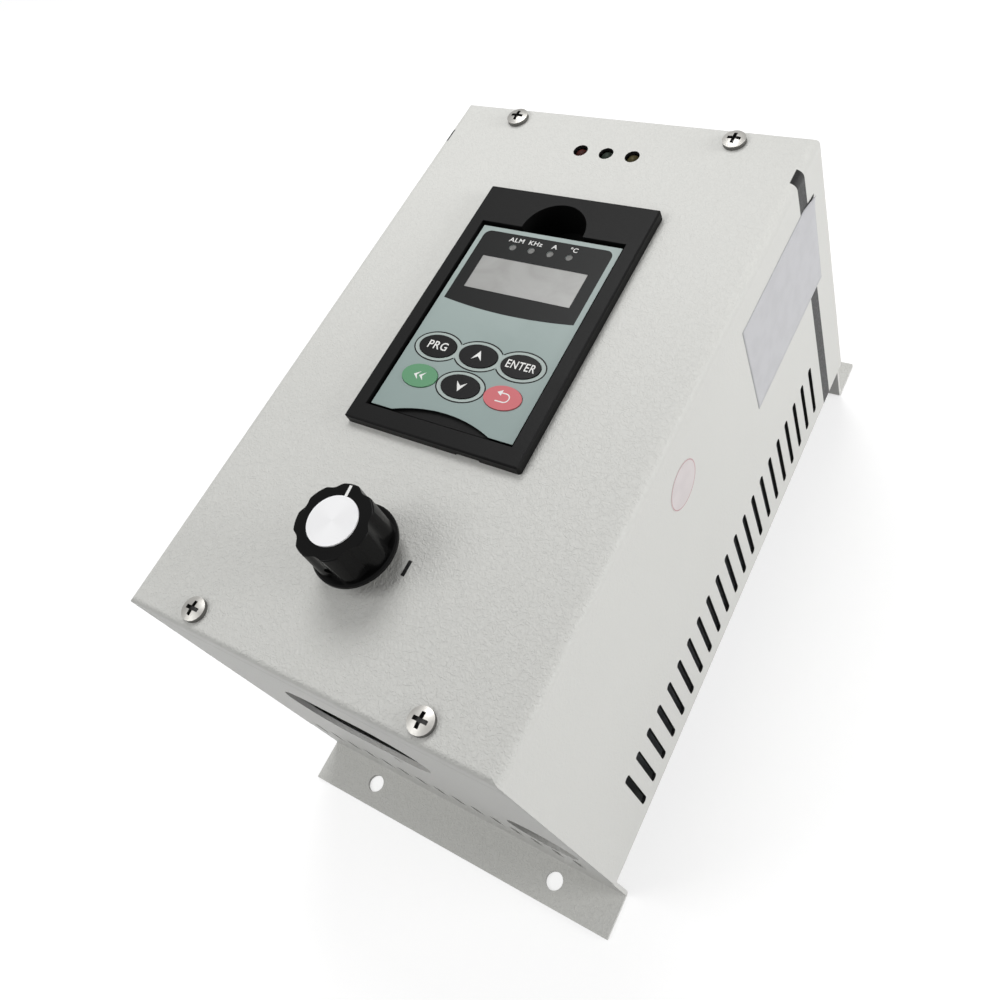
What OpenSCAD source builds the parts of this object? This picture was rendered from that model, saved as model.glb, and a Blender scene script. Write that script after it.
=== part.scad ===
// Wall-mounted induction heating machine, in millimetres.
// The origin is at the middle of the feet's underside, +Z points out of the face
// and +Y runs up the panel.

/* [Cabinet] */
// Width across the cover
cabinet_w = 136; // [130:1:170]
// Length of the cover
cabinet_h = 218.6; // [214:0.2:260]
// Height of the face above the mounting surface
cabinet_d = 143.6; // [140:0.2:170]
// Gap between the side walls and the mounting surface
back_gap = 23.1; // [20:0.1:25]
// Thickness of the cover's sheet
sheet_t = 1.2; // [0.8:0.1:1.6]
// Outer radius of the long bends
side_bend_r = 3; // [2:0.5:5]
// Outer radius of the end bends
end_bend_r = 1.8; // [1.7:0.1:3]
// Depth of the end lips
lip_d = 8.5; // [7:0.5:12]
// Seam between an end lip and the side wall
seam = 0.3; // [0.2:0.1:0.6]

/* [Side vents] */
// Number of slots in a side wall
vent_count = 21; // [5:1:23]
// Distance from slot to slot
vent_pitch = 8.1; // [7:0.1:8.5]
// Width of a slot
vent_w = 2.8; // [2:0.1:4]
// Length of a slot
vent_l = 28; // [20:1:29]
// Rise of the slots' lower ends above the edge of the side wall
vent_rise = 7; // [5:0.5:12]
// Shift of the row of slots from the middle
vent_shift = -0.9; // [-3:0.1:3]

/* [End frames] */
// Thickness of the sheet of the end frames and the back plate
frame_t = 1.5; // [1:0.1:2]
// Gap between the cover and the frames
frame_gap = 0.2; // [0.1:0.1:0.5]
// Reach of a mounting foot beyond the cover
foot_reach = 15.5; // [14:0.5:25]
// Outer radius of the bends
frame_bend_r = 2.2; // [2.1:0.1:3]
// Radius of a foot's outer corners
foot_corner_r = 0.5; // [0.3:0.1:5]
// Diameter of a mounting hole
foot_hole_d = 6.5; // [4:0.5:8]
// Distance between the two holes of a foot
foot_hole_pitch = 82.5; // [60:0.5:110]
// Distance of the mounting holes from the cover
foot_hole_reach = 7; // [6:0.5:9]
// Reach of the top tabs inwards
tab_reach = 10; // [9:1:14]
// Clear width between the top tabs
tab_gap = 56; // [50:1:64]

/* [Cable openings] */
// Width of the opening for the coil's leads
coil_opening_w = 54; // [40:1:60]
// Height of that opening
coil_opening_h = 34; // [20:1:36]
// Place of that opening across the wall
coil_opening_x = -3; // [-6:0.5:3]
// Depth of its middle below the face
coil_opening_d = 48; // [46:0.5:50]
// Diameter of the mains cable entry
cable_entry_d = 25; // [16:0.5:28]
// Distance of its middle from the side of the wall
cable_entry_inset = 16.6; // [15:0.1:22]
// Gap between the cable entry and the air slots
cable_entry_gap = 4.5; // [2:0.5:6]
// Diameter of the pilot hole between them
pilot_d = 4; // [3:0.5:6]
// Place of the pilot hole across the wall
pilot_x = 1.5; // [-5:0.5:5]
// Distance of the pilot hole below the opening for the leads
pilot_drop = 7; // [4:0.5:10]
// Number of air slots along the foot of the wall
air_slot_count = 15; // [5:1:15]
// Width of an air slot
air_slot_w = 3; // [2:0.1:4]
// Height of an air slot
air_slot_l = 11; // [8:0.5:13]
// Height of the air slots above the back plate
air_slot_rise = 1; // [0.5:0.1:2]

/* [Cover screws] */
// Distance between two screws across the face
screw_pitch = 84; // [78:1:96]
// Thread radius of the screws
screw_r = 2; // [1.5:0.1:2.2]
// Head radius of the screws
screw_head_r = 3.9; // [3.5:0.1:4.2]
// Head height of the screws
screw_head_h = 2.2; // [1.8:0.1:2.6]
// Length of a screw under its head
screw_l = 9; // [7:0.5:12]

/* [Keypad tray] */
// Width of the bezel beside the pocket
bezel_side = 5; // [4:0.5:8]
// Width of the bezel above the pocket
bezel_upper = 15.7; // [14.5:0.1:18]
// Width of the bezel below the pocket
bezel_lower = 6; // [4:0.5:9]
// Place of the bezel's middle up the face
tray_y = 18.25; // [14:0.25:20]
// Height of the bezel above the face
bezel_h = 3.5; // [3:0.1:4.5]
// Bevel of the bezel's upper edges
bezel_bevel = 0.5; // [0.2:0.1:0.8]
// Depth of the pocket below the face
pocket_d = 10; // [9:0.5:12]
// Radius of the finger notch
notch_r = 11.6; // [10:0.1:12]
// Wall of the pocket
tray_wall = 1.5; // [1.2:0.1:2]

/* [Keypad] */
// Length of the keypad
keypad_h = 75.4; // [70:0.2:84]
// Gap between the keys and the keypad's sides
keypad_margin = 3.9; // [3:0.1:6]
// Gap between the keypad and the pocket's sides
keypad_side_gap = 0.95; // [0.5:0.05:1.5]
// Gap between the keypad and the pocket's ends
keypad_end_gap = 1.2; // [0.5:0.05:1.8]
// Height of the keypad's top above the face
keypad_rise = 2.5; // [2.2:0.1:3]
// Thickness of the printed film
film_t = 0.2; // [0.15:0.05:0.3]
// Thickness of the case's top
case_top_t = 1.6; // [1.4:0.1:2]
// Thickness of the case's sides and back
case_wall = 1.5; // [1:0.1:2]
// Half width of the scoop in the lower edge
scoop_half_w = 18; // [10:0.5:22]
// Height of the scoop
scoop_sag = 3.5; // [2:0.1:5]
// Depth of the scoop
scoop_d = 1; // [0.5:0.1:1.2]
// Width of the display window
window_w = 39.8; // [36:0.1:44]
// Height of the display window
window_h = 13.6; // [12:0.1:15]
// Distance of the window's middle from the keypad's top edge
window_inset = 19; // [18:0.1:20]
// Radius of an indicator light
indicator_r = 1.25; // [0.8:0.05:1.5]
// Distance between indicator lights
indicator_pitch = 7.13; // [6:0.01:9]
// Distance of the lights from the keypad's top edge
indicator_inset = 7.1; // [5:0.1:8]

/* [Keys] */
// Distance between the key columns
key_pitch = 15.5; // [14:0.1:17]
// Distance between the key rows
key_row_pitch = 11.75; // [11:0.05:13]
// Distance of the lower row from the keypad's lower edge
key_inset = 13.5; // [12:0.1:15]
// Space between two keys of a row
key_space = 1.7; // [1.4:0.1:3]
// Space between the rows
key_row_space = 3.35; // [2:0.05:4]
// Amount by which a coloured key is narrower on each side
key_trim = 0.4; // [0:0.1:1]
// Height of a key above the film
key_proud = 0.35; // [0.2:0.05:0.6]
// Gap round a key
key_gap = 0.15; // [0.1:0.05:0.25]
// Travel of a key
key_travel = 0.4; // [0.2:0.05:0.5]

/* [Knob] */
// Distance of the knob from the lower end of the cover
knob_inset = 39.9; // [36:0.1:42]
// Gap between the face and the knob
knob_lift = 5.5; // [5.4:0.1:7]
// Radius of the knob's skirt
skirt_r = 13.2; // [13:0.1:15]
// Thickness of the skirt
skirt_h = 2; // [1.5:0.1:3]
// Height of the knob
knob_h = 15; // [14:0.5:18]
// Radius over the lobes
lobe_r = 12.2; // [11.5:0.1:12.6]
// Depth of the hollows between the lobes
lobe_depth = 1.4; // [0.5:0.1:1.8]
// Number of lobes
lobe_count = 7; // [5:1:9]
// Turn of the pointer from straight up
pointer_turn = 5.5; // [-30:0.5:30]
// Radius of the aluminium cap
cap_r = 7.7; // [6:0.1:8.4]
// Height of the cap above the knob
cap_proud = 0.5; // [0.2:0.1:0.8]
// Width of the pointer line
pointer_w = 0.9; // [0.6:0.1:1.5]

/* [Potentiometer] */
// Radius of the shaft
shaft_r = 3; // [2.5:0.1:3.2]
// Running clearance round the shaft
shaft_gap = 0.08; // [0.03:0.01:0.1]
// Radius of the threaded bush
bush_r = 4.5; // [4.2:0.1:5]
// Gap between the bush and the knob
bush_gap = 0.9; // [0.5:0.1:1.5]
// Radius of the body
pot_r = 12; // [9:0.5:14]
// Depth of the body
pot_d = 10; // [8:0.5:12]

/* [Status lights] */
// Distance of the lights from the upper end of the cover
lamp_inset = 17.3; // [16:0.1:19]
// Distance between the lights
lamp_pitch = 10; // [8:0.1:11]
// Radius of a light
lamp_r = 2.5; // [1.5:0.1:3]
// Gap between a light and its hole
lamp_gap = 0.12; // [0.05:0.01:0.3]
// Depth of a light's crown below the face
lamp_sink = 0.4; // [0:0.1:1]

/* [Fan] */
// Width of the fan
fan_w = 80; // [76:1:84]
// Depth of the fan
fan_t = 25; // [24:1:28]
// Gap between the back plate and the fan
fan_rise = 1.4; // [1:0.1:4]
// Distance of the fan's screws from its sides
fan_screw_inset = 4.25; // [4:0.05:5]
// Wall of the fan's frame at its thinnest
fan_wall = 2; // [1.5:0.1:3]
// Number of blades
blade_count = 7; // [5:1:9]
// Gap round the blades' tips
tip_gap = 1.2; // [0.8:0.1:2]

/* [Heatsink] */
// Width of the heatsink
sink_w = 100; // [90:1:110]
// Gap between the heatsink and the fan
sink_fan_gap = 10.3; // [4:0.1:15]
// Height of the heatsink
sink_h = 36; // [30:0.5:38]
// Thickness of its base
sink_base_t = 6; // [5:0.5:8]
// Thickness of a fin
fin_t = 2; // [1.5:0.1:2.5]
// Number of fins between the outer ones
fin_count = 12; // [6:1:14]

/* [Power board] */
// Gap between the board and the cover's sides
board_side_gap = 10.8; // [4:0.1:14]
// Gap between the board and the fan
board_fan_gap = 6.8; // [3:0.1:10]
// Distance of the board from the lower end of the cover
board_end_gap = 19.3; // [16:0.1:24]
// Thickness of the boards
board_t = 1.6; // [1.2:0.1:2]
// Height of the board above the heatsink
board_rise = 21; // [20:0.5:24]

/* [Hidden] */
$fn = 64;

// Reach of every cut past the face that it opens
overrun = 1;
// Steps in a bend and in a key's quarter outline
bend_steps = 6;
key_steps = 12;
// Clearance between a thread and what it passes through or screws into
hole_gap = 0.3;
thread_gap = 0.05;

// Places that follow the cabinet
face_z = cabinet_d;
inner_face_z = face_z - sheet_t;
back_z = back_gap;
side_wall_d = face_z - back_z;
floor_z = back_z + frame_t;
end_y = cabinet_h / 2;
wall_y = end_y - frame_t;
frame_w = cabinet_w - 2 * (sheet_t + frame_gap);
joggle = sheet_t + frame_gap;
joggle_l = 2;
joggle_z = face_z - lip_d - frame_gap - joggle_l;
plate_flange_h = 5.5;
plate_skirt_h = 12;
plate_skirt_w = 110;
air_slot_span_share = 0.8513;
air_slot_pitch = air_slot_span_share * frame_w / (air_slot_count - 1);
air_slot_top_z = floor_z + air_slot_rise + air_slot_l;
coil_opening_z = face_z - coil_opening_d;
pilot_z = coil_opening_z - coil_opening_h / 2 - pilot_drop;
cable_entry_x = frame_w / 2 - cable_entry_inset;
cable_entry_z = air_slot_top_z + cable_entry_gap + cable_entry_d / 2;
screw_rim_h = 1.5;
cross_w = 1.2;
cross_l = 4.6;
cross_d = 1.4;
nut_h = 3.2;
nut_r = 2.6;
nut_gap = 0.3;
screw_y = end_y - frame_t - joggle - nut_gap - nut_r;

// Places on the keypad
key_half_w = (key_pitch - key_space) / 2;
key_half_h = (key_row_pitch - key_row_space) / 2;
keypad_w = 2 * (key_pitch + key_half_w + keypad_margin);
pocket_w = keypad_w + 2 * keypad_side_gap;
pocket_h = keypad_h + 2 * keypad_end_gap;
tray_w = pocket_w + 2 * bezel_side;
tray_h = pocket_h + bezel_lower + bezel_upper;
pocket_y = tray_y + (bezel_lower - bezel_upper) / 2;
tray_floor_t = 1.6;
tray_corner_r = 1;
tray_gap = 0.3;
barb_reach = 1.2;
barb_h = 3;
barb_w = 10;
barb_share = 0.32;
pry_x = 13.8;
pry_w = 8.4;
pry_h = 0.9;
pry_d = 0.5;
keypad_bottom_y = pocket_y - keypad_h / 2;
keypad_top_y = pocket_y + keypad_h / 2;
film_z = face_z + keypad_rise;
case_z = film_z - film_t;
case_under_z = case_z - case_top_t;
keypad_floor_z = face_z - pocket_d;
case_back_z = keypad_floor_z + case_wall;
window_y = keypad_top_y - window_inset;
window_gap = 0.1;
window_t = 0.8;
indicator_y = keypad_top_y - indicator_inset;
indicator_count = 4;
indicator_shift = -0.3;
indicator_gap = 0.1;
flange_t = 0.8;
flange_reach = 0.4;
stem_l = 0.5;
stem_r = 2;
key_rest = 0.1;
switch_w = 5;
switch_button_r = 1.5;
switch_button_h = 0.5;
switch_h = 0.8;
flange_z = case_under_z - flange_t;
stem_z = flange_z - stem_l;
switch_z = stem_z - key_travel - key_rest;
keypad_board_z = switch_z - switch_button_h - switch_h;
keypad_board_gap = 0.4;
keypad_board_w = keypad_w - 2 * (case_wall + keypad_board_gap);
keypad_board_h = keypad_h - 2 * (case_wall + keypad_board_gap);
module_margin = 1;
boss_r = 2.5;
boss_inset = 4;
plug_w = 20;
plug_t = 5;
plug_l = 6.6;
plug_gap = 0.3;
socket_w = 26;
socket_t = 10;
socket_h = 9;
socket_z = keypad_floor_z - tray_floor_t - socket_h;

// Places on the knob
knob_y = knob_inset - end_y;
knob_z = face_z + knob_lift;
bush_h = knob_lift - bush_gap;
skirt_bevel = 0.5;
lobe_steps = 16;
lobe_edge_r = 0.5;
// How narrow the hollows between the lobes are
hollow_power = 1.6;
knob_wall = 2;
hub_r = 6.3;
hub_hollow_top = 11;
knob_bore_d = 12;
knob_bore_gap = 0.05;
cap_gap = 0.06;
cap_seat = 0.4;
pointer_d = 0.5;
pointer_proud = 0.04;
pointer_start_gap = 0.2;
pointer_end_gap = 0.9;
grub_r = 1.5;
grub_z = 6;
grub_l = 3;
shaft_floor = 2;
washer_t = 0.6;
washer_r = 7.4;
pot_nut_h = 2.2;
pot_nut_r = 6.9;
pot_lug_w = 14;
pot_lug_l = 6;
pot_lug_t = 1;
pot_lug_drop = 6;

// Places of the status lights
lamp_y = end_y - lamp_inset;
lamp_l = 7.5;
lamp_flange_r = 2.9;
lamp_flange_h = 1;
lamp_board_w = 38;
lamp_board_h = 12;
lamp_board_z = face_z - lamp_sink - lamp_l;
spacer_r = 2;
spacer_x = 16;

// Places on the fan
fan_y = wall_y - fan_t;
fan_z = floor_z + fan_rise + fan_w / 2;
fan_screw_pitch = fan_w - 2 * fan_screw_inset;
fan_bore_r = fan_w / 2 - fan_wall;
fan_corner_r = 4;
fan_hub_r = 18.5;
fan_plate_t = 3;
strut_w = 5;
strut_count = 4;
bearing_r = 4;
stator_r = 13;
stator_h = 12;
fan_shaft_r = 1.5;
fan_shaft_gap = 0.05;
rotor_gap = 1;
rotor_wall = 2;
rotor_top = 2;
rotor_z = fan_plate_t + rotor_gap;
rotor_h = fan_t - fan_plate_t - 2 * rotor_gap;
blade_arc_r = 20;
blade_t = 1.4;
blade_from = 20;
blade_to = 72;
blade_steps = 8;
blade_root = 1;
grille_count = 9;
grille_pitch_share = 0.213;
grille_slot_share = 0.67;
grille_pitch = grille_pitch_share * fan_bore_r;
grille_slot = grille_slot_share * grille_pitch;
fan_screw_r = 2;
fan_screw_l = 12;

// Places of the heatsink and the power parts
sink_l = 2 * (fan_y - sink_fan_gap);
sink_z = floor_z;
sink_top_z = sink_z + sink_h;
outer_fin_t = 7;
sink_screw_share = 0.86;
sink_screw_l = 12;
board_z = sink_top_z + board_rise;
board_top_z = board_z + board_t;
board_w = cabinet_w - 2 * (sheet_t + board_side_gap);
board_low_y = board_end_gap - end_y;
board_l = fan_y - board_fan_gap - board_low_y;
board_y = board_low_y + board_l / 2;
clear_h = face_z - pocket_d - tray_floor_t - board_top_z;
tall_share = 0.7;
core_share = 0.62;
pillar_r = 3;
pillar_inset_x = 8;
pillar_inset_y = 22;
device_screw_r = 1.5;
device_screw_head_r = 2.8;
device_screw_head_h = 1.8;
device_screw_l = 8;
transistor_w = 62;
transistor_l = 34;
transistor_h = 15;
transistor_step = 6;
transistor_screw_pitch = 53;
transistor_y = 30;
rectifier_w = 28.5;
rectifier_h = 9;
rectifier_y = -35;
film_cap_w = 32;
film_cap_l = 18;
film_cap_h = tall_share * clear_h;
film_cap_x_share = -0.286;
film_cap_x = film_cap_x_share * board_w;
film_cap_y = -34;
film_cap_pitch = 22;
film_cap_count = 3;
film_cap_edge_r = 1.5;
can_r = 15;
can_h = tall_share * clear_h;
can_x_share = 0.268;
can_x = can_x_share * board_w;
can_y_share = 0.331;
can_y = board_y + can_y_share * board_l;
can_edge = 1;
core_w = 40;
core_l = 34;
core_h = core_share * clear_h;
core_limb_w = 11;
core_window_h = core_h / 2;
core_x_share = 0.295;
core_x = core_x_share * board_w;
core_y = -24;
winding_t = 6;
winding_gap = 0.4;
bar_w = 14;
bar_t = 2.5;
bar_h = 28;
bar_x = 16;
bar_inset = 6;
bar_y = board_low_y + bar_inset;
bar_hole_inset = 8;
bolt_r = 3;
bolt_l = 14;
bolt_head_r = 5.8;
bolt_head_h = 4;
ring_r = 17;
ring_bore_r = 9;
ring_h = 11;
block_w = 46;
block_l = 20;
block_h = 20;
block_side_gap = 5.6;
block_inset = 19.3;
block_x = frame_w / 2 - block_side_gap - block_w / 2;
block_y = block_inset - end_y;
block_ways = 4;
block_entry_w = 7;
block_entry_h = 9;
block_entry_z = 4;
block_screw_r = 2.5;
block_screw_d = 6;
block_screw_sink = 2;
stud_side_inset = 16.6;
stud_inset = 17.3;
stud_x = stud_side_inset - frame_w / 2;
stud_y = stud_inset - end_y;
stud_r = 2.5;
stud_h = 18;
stud_nut_r = 4.6;
stud_nut_h = 4;
header_w = 24;
header_l = 9;
header_h = 7;
ribbon_w = 18;
ribbon_t = 1;
ribbon_shift = 11;
ribbon_drop = socket_z - board_top_z - header_h;
ribbon_bend_share = 0.12;
ribbon_slope_share = 0.17;

function unit(v) = v / norm(v);
function left_of(v) = [-v[1], v[0]];
function turned(v, a) = [v[0] * cos(a) - v[1] * sin(a), v[0] * sin(a) + v[1] * cos(a)];
function reversed(list) = [for (i = [len(list) - 1 : -1 : 0]) list[i]];

// One corner of a bent sheet, seen on the line that lies a given distance beside the path
function bend(p, u, v, r, side) =
    let (a = atan2(u[0] * v[1] - u[1] * v[0], u * v), s = sign(a),
         c = p + (left_of(u) + left_of(v)) * s * r / (1 + u * v))
    [for (k = [0 : bend_steps]) c + (side - s * r) * turned(left_of(u), a * k / bend_steps)];

// The line that lies a given distance beside a path with bends of radius r
function beside(path, r, side) =
    let (n = len(path), d = [for (i = [1 : n - 1]) unit(path[i] - path[i - 1])])
    concat([path[0] + side * left_of(d[0])],
           [for (i = [1 : n - 2]) each bend(path[i], d[i - 1], d[i], r, side)],
           [path[n - 1] + side * left_of(d[n - 2])]);

// Section of a sheet of thickness t bent along a path that runs in its middle
module bent_sheet(path, t, r)
    polygon(concat(beside(path, r, t / 2), reversed(beside(path, r, -t / 2))));

// Outline of an ellipse
function ellipse(a, b) = [for (k = [0 : 4 * key_steps - 1])
    [a * cos(90 * k / key_steps), b * sin(90 * k / key_steps)]];

// A section in X and Z drawn out along Y, and one in Y and Z drawn out along X
module along_y(l) rotate([90, 0, 0]) linear_extrude(l, center = true) children();
module along_x(l) rotate([90, 0, 90]) linear_extrude(l, center = true) children();

// A block that stands on the middle of its base
module block(w, l, h) translate([-w / 2, -l / 2, 0]) cube([w, l, h]);

module rounded(w, l, r) {
    square([w - 2 * r, l], center = true);
    square([w, l - 2 * r], center = true);
    for (x = [-1, 1], y = [-1, 1]) translate([x * (w / 2 - r), y * (l / 2 - r)]) circle(r);
}

// A slot with round ends, long along Y
module slot(w, l) {
    square([w, l - w], center = true);
    for (y = [-1, 1]) translate([0, y * (l - w) / 2]) circle(w / 2);
}

module hexagon(r, h) cylinder(r = r, h = h, $fn = 6);

module nut(r, h, bore_r) difference() {
    hexagon(r, h);
    translate([0, 0, -overrun]) cylinder(r = bore_r, h = h + 2 * overrun);
}

// Pan-head screw with a cross recess, its head above the origin and its shank below
module pan_screw(r, l, head_r, head_h) {
    crown = head_h - screw_rim_h;
    dome_r = (head_r * head_r + crown * crown) / (2 * crown);
    difference() {
        intersection() {
            cylinder(r = head_r, h = head_h);
            translate([0, 0, head_h - dome_r]) sphere(dome_r);
        }
        for (a = [0, 90]) rotate([0, 0, a]) translate([0, 0, head_h - cross_d])
            block(cross_l, cross_w, cross_d + overrun);
    }
    translate([0, 0, -l]) cylinder(r = r, h = l);
}

// The four places of the cover's screws
module at_cover_screws() for (x = [-1, 1], y = [-1, 1])
    translate([x * screw_pitch / 2, y * screw_y, 0]) children();

// Section of a box with round upper corners
module crowned(w, bottom, top, r) {
    translate([-w / 2, bottom]) square([w, top - r - bottom]);
    translate([r - w / 2, bottom]) square([w - 2 * r, top - bottom]);
    for (s = [-1, 1]) translate([s * (w / 2 - r), top - r]) circle(r);
}

// The cover's outer form, set in by t all round
module cover_form(t, bottom) intersection() {
    along_y(cabinet_h - 2 * t) crowned(cabinet_w - 2 * t, bottom, face_z - t, side_bend_r - t);
    along_x(cabinet_w - 2 * t) crowned(cabinet_h - 2 * t, bottom, face_z - t, end_bend_r - t);
}

// Outline of the tray's pocket with its finger notch, grown by g
module pocket_outline(g) translate([0, pocket_y]) {
    square([pocket_w + 2 * g, pocket_h + 2 * g], center = true);
    translate([0, pocket_h / 2]) circle(notch_r + g);
}

module face_holes() {
    pocket_outline(tray_wall + tray_gap);
    for (i = [-1 : 1]) translate([i * lamp_pitch, lamp_y]) circle(lamp_r + lamp_gap);
    translate([0, knob_y]) circle(bush_r + hole_gap / 2);
    at_cover_screws() circle(screw_r + hole_gap);
}

module side_vents() for (i = [0 : vent_count - 1])
    translate([vent_shift + (i - (vent_count - 1) / 2) * vent_pitch, back_z + vent_rise + vent_l / 2])
        slot(vent_w, vent_l);

module cover() color("gainsboro") difference() {
    cover_form(0, back_z);
    cover_form(sheet_t, back_z - overrun);
    translate([0, 0, back_z - overrun])
        block(cabinet_w - 2 * sheet_t, cabinet_h + 2 * overrun, side_wall_d - lip_d + overrun);
    for (x = [-1, 1]) translate([x * (cabinet_w - seam) / 2 - x * sheet_t, 0, face_z - lip_d - overrun])
        block(seam, cabinet_h + 2 * overrun, lip_d - side_bend_r + overrun);
    along_x(cabinet_w + 2 * overrun) side_vents();
    translate([0, 0, inner_face_z - overrun]) linear_extrude(sheet_t + 2 * overrun) face_holes();
}

// Middle line of an end frame's section, from the foot's tip to the end of the top tab
frame_path = [
    [end_y + foot_reach, frame_t / 2],
    [end_y - frame_t / 2, frame_t / 2],
    [end_y - frame_t / 2, joggle_z],
    [end_y - frame_t / 2 - joggle, joggle_z + joggle_l],
    [end_y - frame_t / 2 - joggle, inner_face_z - frame_t / 2],
    [end_y - frame_t - joggle - tab_reach, inner_face_z - frame_t / 2]];

// Plan of an end frame, with the foot's round corners
module frame_plan() translate([0, end_y - frame_t - joggle - tab_reach]) {
    l = foot_reach + frame_t + joggle + tab_reach;
    translate([-frame_w / 2, 0]) square([frame_w, l - foot_corner_r]);
    translate([foot_corner_r - frame_w / 2, 0]) square([frame_w - 2 * foot_corner_r, l]);
    for (x = [-1, 1]) translate([x * (frame_w / 2 - foot_corner_r), l - foot_corner_r])
        circle(foot_corner_r);
}

// An end frame at the +Y end: foot, wall, joggle behind the cover's lip and two top tabs
module end_frame() difference() {
    intersection() {
        along_x(frame_w) bent_sheet(frame_path, frame_t, frame_bend_r - frame_t / 2);
        linear_extrude(face_z) frame_plan();
    }
    translate([0, end_y - tab_reach, face_z - lip_d / 2]) block(tab_gap, 4 * tab_reach, lip_d);
    for (x = [-1, 1]) {
        translate([x * frame_w / 2, end_y - tab_reach, face_z - side_bend_r])
            block(2 * side_bend_r, 4 * tab_reach, side_bend_r);
        translate([x * foot_hole_pitch / 2, end_y + foot_hole_reach, -overrun])
            cylinder(d = foot_hole_d, h = frame_t + 2 * overrun);
        translate([x * screw_pitch / 2, screw_y, inner_face_z - frame_t - overrun])
            cylinder(r = screw_r + hole_gap, h = frame_t + 2 * overrun);
    }
}

// A cut through the wall of the +Y frame, from an outline in X and Z
module wall_cut() translate([0, end_y - frame_t / 2, 0]) along_y(frame_t + 2 * overrun) children();

module end_frame_bottom() color("silver") mirror([0, 1, 0]) difference() {
    end_frame();
    wall_cut() {
        translate([coil_opening_x, coil_opening_z]) rotate(90) slot(coil_opening_h, coil_opening_w);
        translate([pilot_x, pilot_z]) circle(d = pilot_d);
        for (i = [0 : air_slot_count - 1])
            translate([(i - (air_slot_count - 1) / 2) * air_slot_pitch, air_slot_top_z - air_slot_l / 2])
                slot(air_slot_w, air_slot_l);
    }
    translate([cable_entry_x, end_y + overrun, cable_entry_z]) rotate([90, 0, 0])
        cylinder(d = cable_entry_d, h = frame_t + 2 * overrun);
}

module at_fan_screws() for (x = [-1, 1], z = [-1, 1])
    translate([x * fan_screw_pitch / 2, z * fan_screw_pitch / 2]) children();

module end_frame_top() color("silver") difference() {
    end_frame();
    wall_cut() translate([0, fan_z]) {
        intersection() {
            circle(fan_bore_r);
            for (i = [0 : grille_count - 1])
                translate([0, (i - (grille_count - 1) / 2) * grille_pitch])
                    square([2 * fan_bore_r, grille_slot], center = true);
        }
        at_fan_screws() circle(fan_screw_r + hole_gap);
    }
}

module plate_sheet() {
    side_x = frame_w / 2 - frame_t / 2;
    mid_z = back_z + frame_t / 2;
    along_y(2 * (wall_y - frame_bend_r)) bent_sheet(
        [[-side_x, back_z + plate_flange_h], [-side_x, mid_z],
         [side_x, mid_z], [side_x, back_z + plate_flange_h]], frame_t, frame_bend_r - frame_t / 2);
    for (s = [0, 1]) mirror([0, s, 0]) along_x(plate_skirt_w) bent_sheet(
        [[wall_y - plate_skirt_h, mid_z], [wall_y - frame_t / 2, mid_z],
         [wall_y - frame_t / 2, back_z - plate_skirt_h]], frame_t, frame_bend_r - frame_t / 2);
}

module back_plate() color("silver") difference() {
    plate_sheet();
    at_sink_screws() translate([0, 0, back_z - overrun])
        cylinder(r = screw_r + hole_gap, h = frame_t + 2 * overrun);
}

module cover_screws() color("silver") translate([0, 0, face_z]) at_cover_screws()
    pan_screw(screw_r, screw_l, screw_head_r, screw_head_h);

module cover_nuts() color("silver") translate([0, 0, inner_face_z - frame_t - nut_gap - nut_h])
    at_cover_screws() difference() {
        cylinder(r = nut_r, h = nut_h);
        translate([0, 0, -overrun]) cylinder(r = screw_r + thread_gap, h = nut_h + 2 * overrun);
    }

// The bezel's block with its four upper edges bevelled
module bezel_block() intersection() {
    along_y(tray_h) polygon([
        [-tray_w / 2, 0], [tray_w / 2, 0], [tray_w / 2, bezel_h - bezel_bevel],
        [tray_w / 2 - bezel_bevel, bezel_h], [bezel_bevel - tray_w / 2, bezel_h],
        [-tray_w / 2, bezel_h - bezel_bevel]]);
    along_x(tray_w) polygon([
        [-tray_h / 2, 0], [tray_h / 2, 0], [tray_h / 2, bezel_h - bezel_bevel],
        [tray_h / 2 - bezel_bevel, bezel_h], [bezel_bevel - tray_h / 2, bezel_h],
        [-tray_h / 2, bezel_h - bezel_bevel]]);
    linear_extrude(bezel_h) rounded(tray_w, tray_h, tray_corner_r);
}

module keypad_tray() color([0.15, 0.15, 0.15]) difference() {
    union() {
        translate([0, tray_y, face_z]) bezel_block();
        translate([0, 0, keypad_floor_z - tray_floor_t])
            linear_extrude(pocket_d + tray_floor_t) pocket_outline(tray_wall);
        for (x = [0, 1], y = [-1, 1]) mirror([x, 0, 0])
            translate([pocket_w / 2 + tray_wall, pocket_y + y * barb_share * pocket_h, inner_face_z - thread_gap])
                along_y(barb_w) polygon([[0, 0], [barb_reach, 0], [0, -barb_h]]);
    }
    translate([0, 0, keypad_floor_z]) linear_extrude(pocket_d + bezel_h + overrun) pocket_outline(0);
    translate([0, pocket_y, keypad_floor_z - tray_floor_t - overrun])
        block(plug_w + 2 * plug_gap, plug_t + 2 * plug_gap, tray_floor_t + 2 * overrun);
    translate([pry_x, tray_y - tray_h / 2, face_z - overrun]) block(pry_w, 2 * pry_d, pry_h + overrun);
}

module keypad_socket() color([0.1, 0.1, 0.1]) translate([0, pocket_y, socket_z]) difference() {
    block(socket_w, socket_t, socket_h);
    translate([0, 0, socket_h + tray_floor_t - plug_l - plug_gap])
        block(plug_w + 2 * plug_gap, plug_t + 2 * plug_gap, socket_h);
}

module ribbon_cable() color([0.5, 0.5, 0.55]) {
    middle_z = socket_z - ribbon_drop / 2;
    slope_h = ribbon_slope_share * ribbon_drop;
    along_x(ribbon_w) bent_sheet([
        [pocket_y, socket_z], [pocket_y, middle_z + slope_h],
        [pocket_y + ribbon_shift, middle_z - slope_h],
        [pocket_y + ribbon_shift, socket_z - ribbon_drop]], ribbon_t, ribbon_bend_share * ribbon_drop);
}

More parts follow.
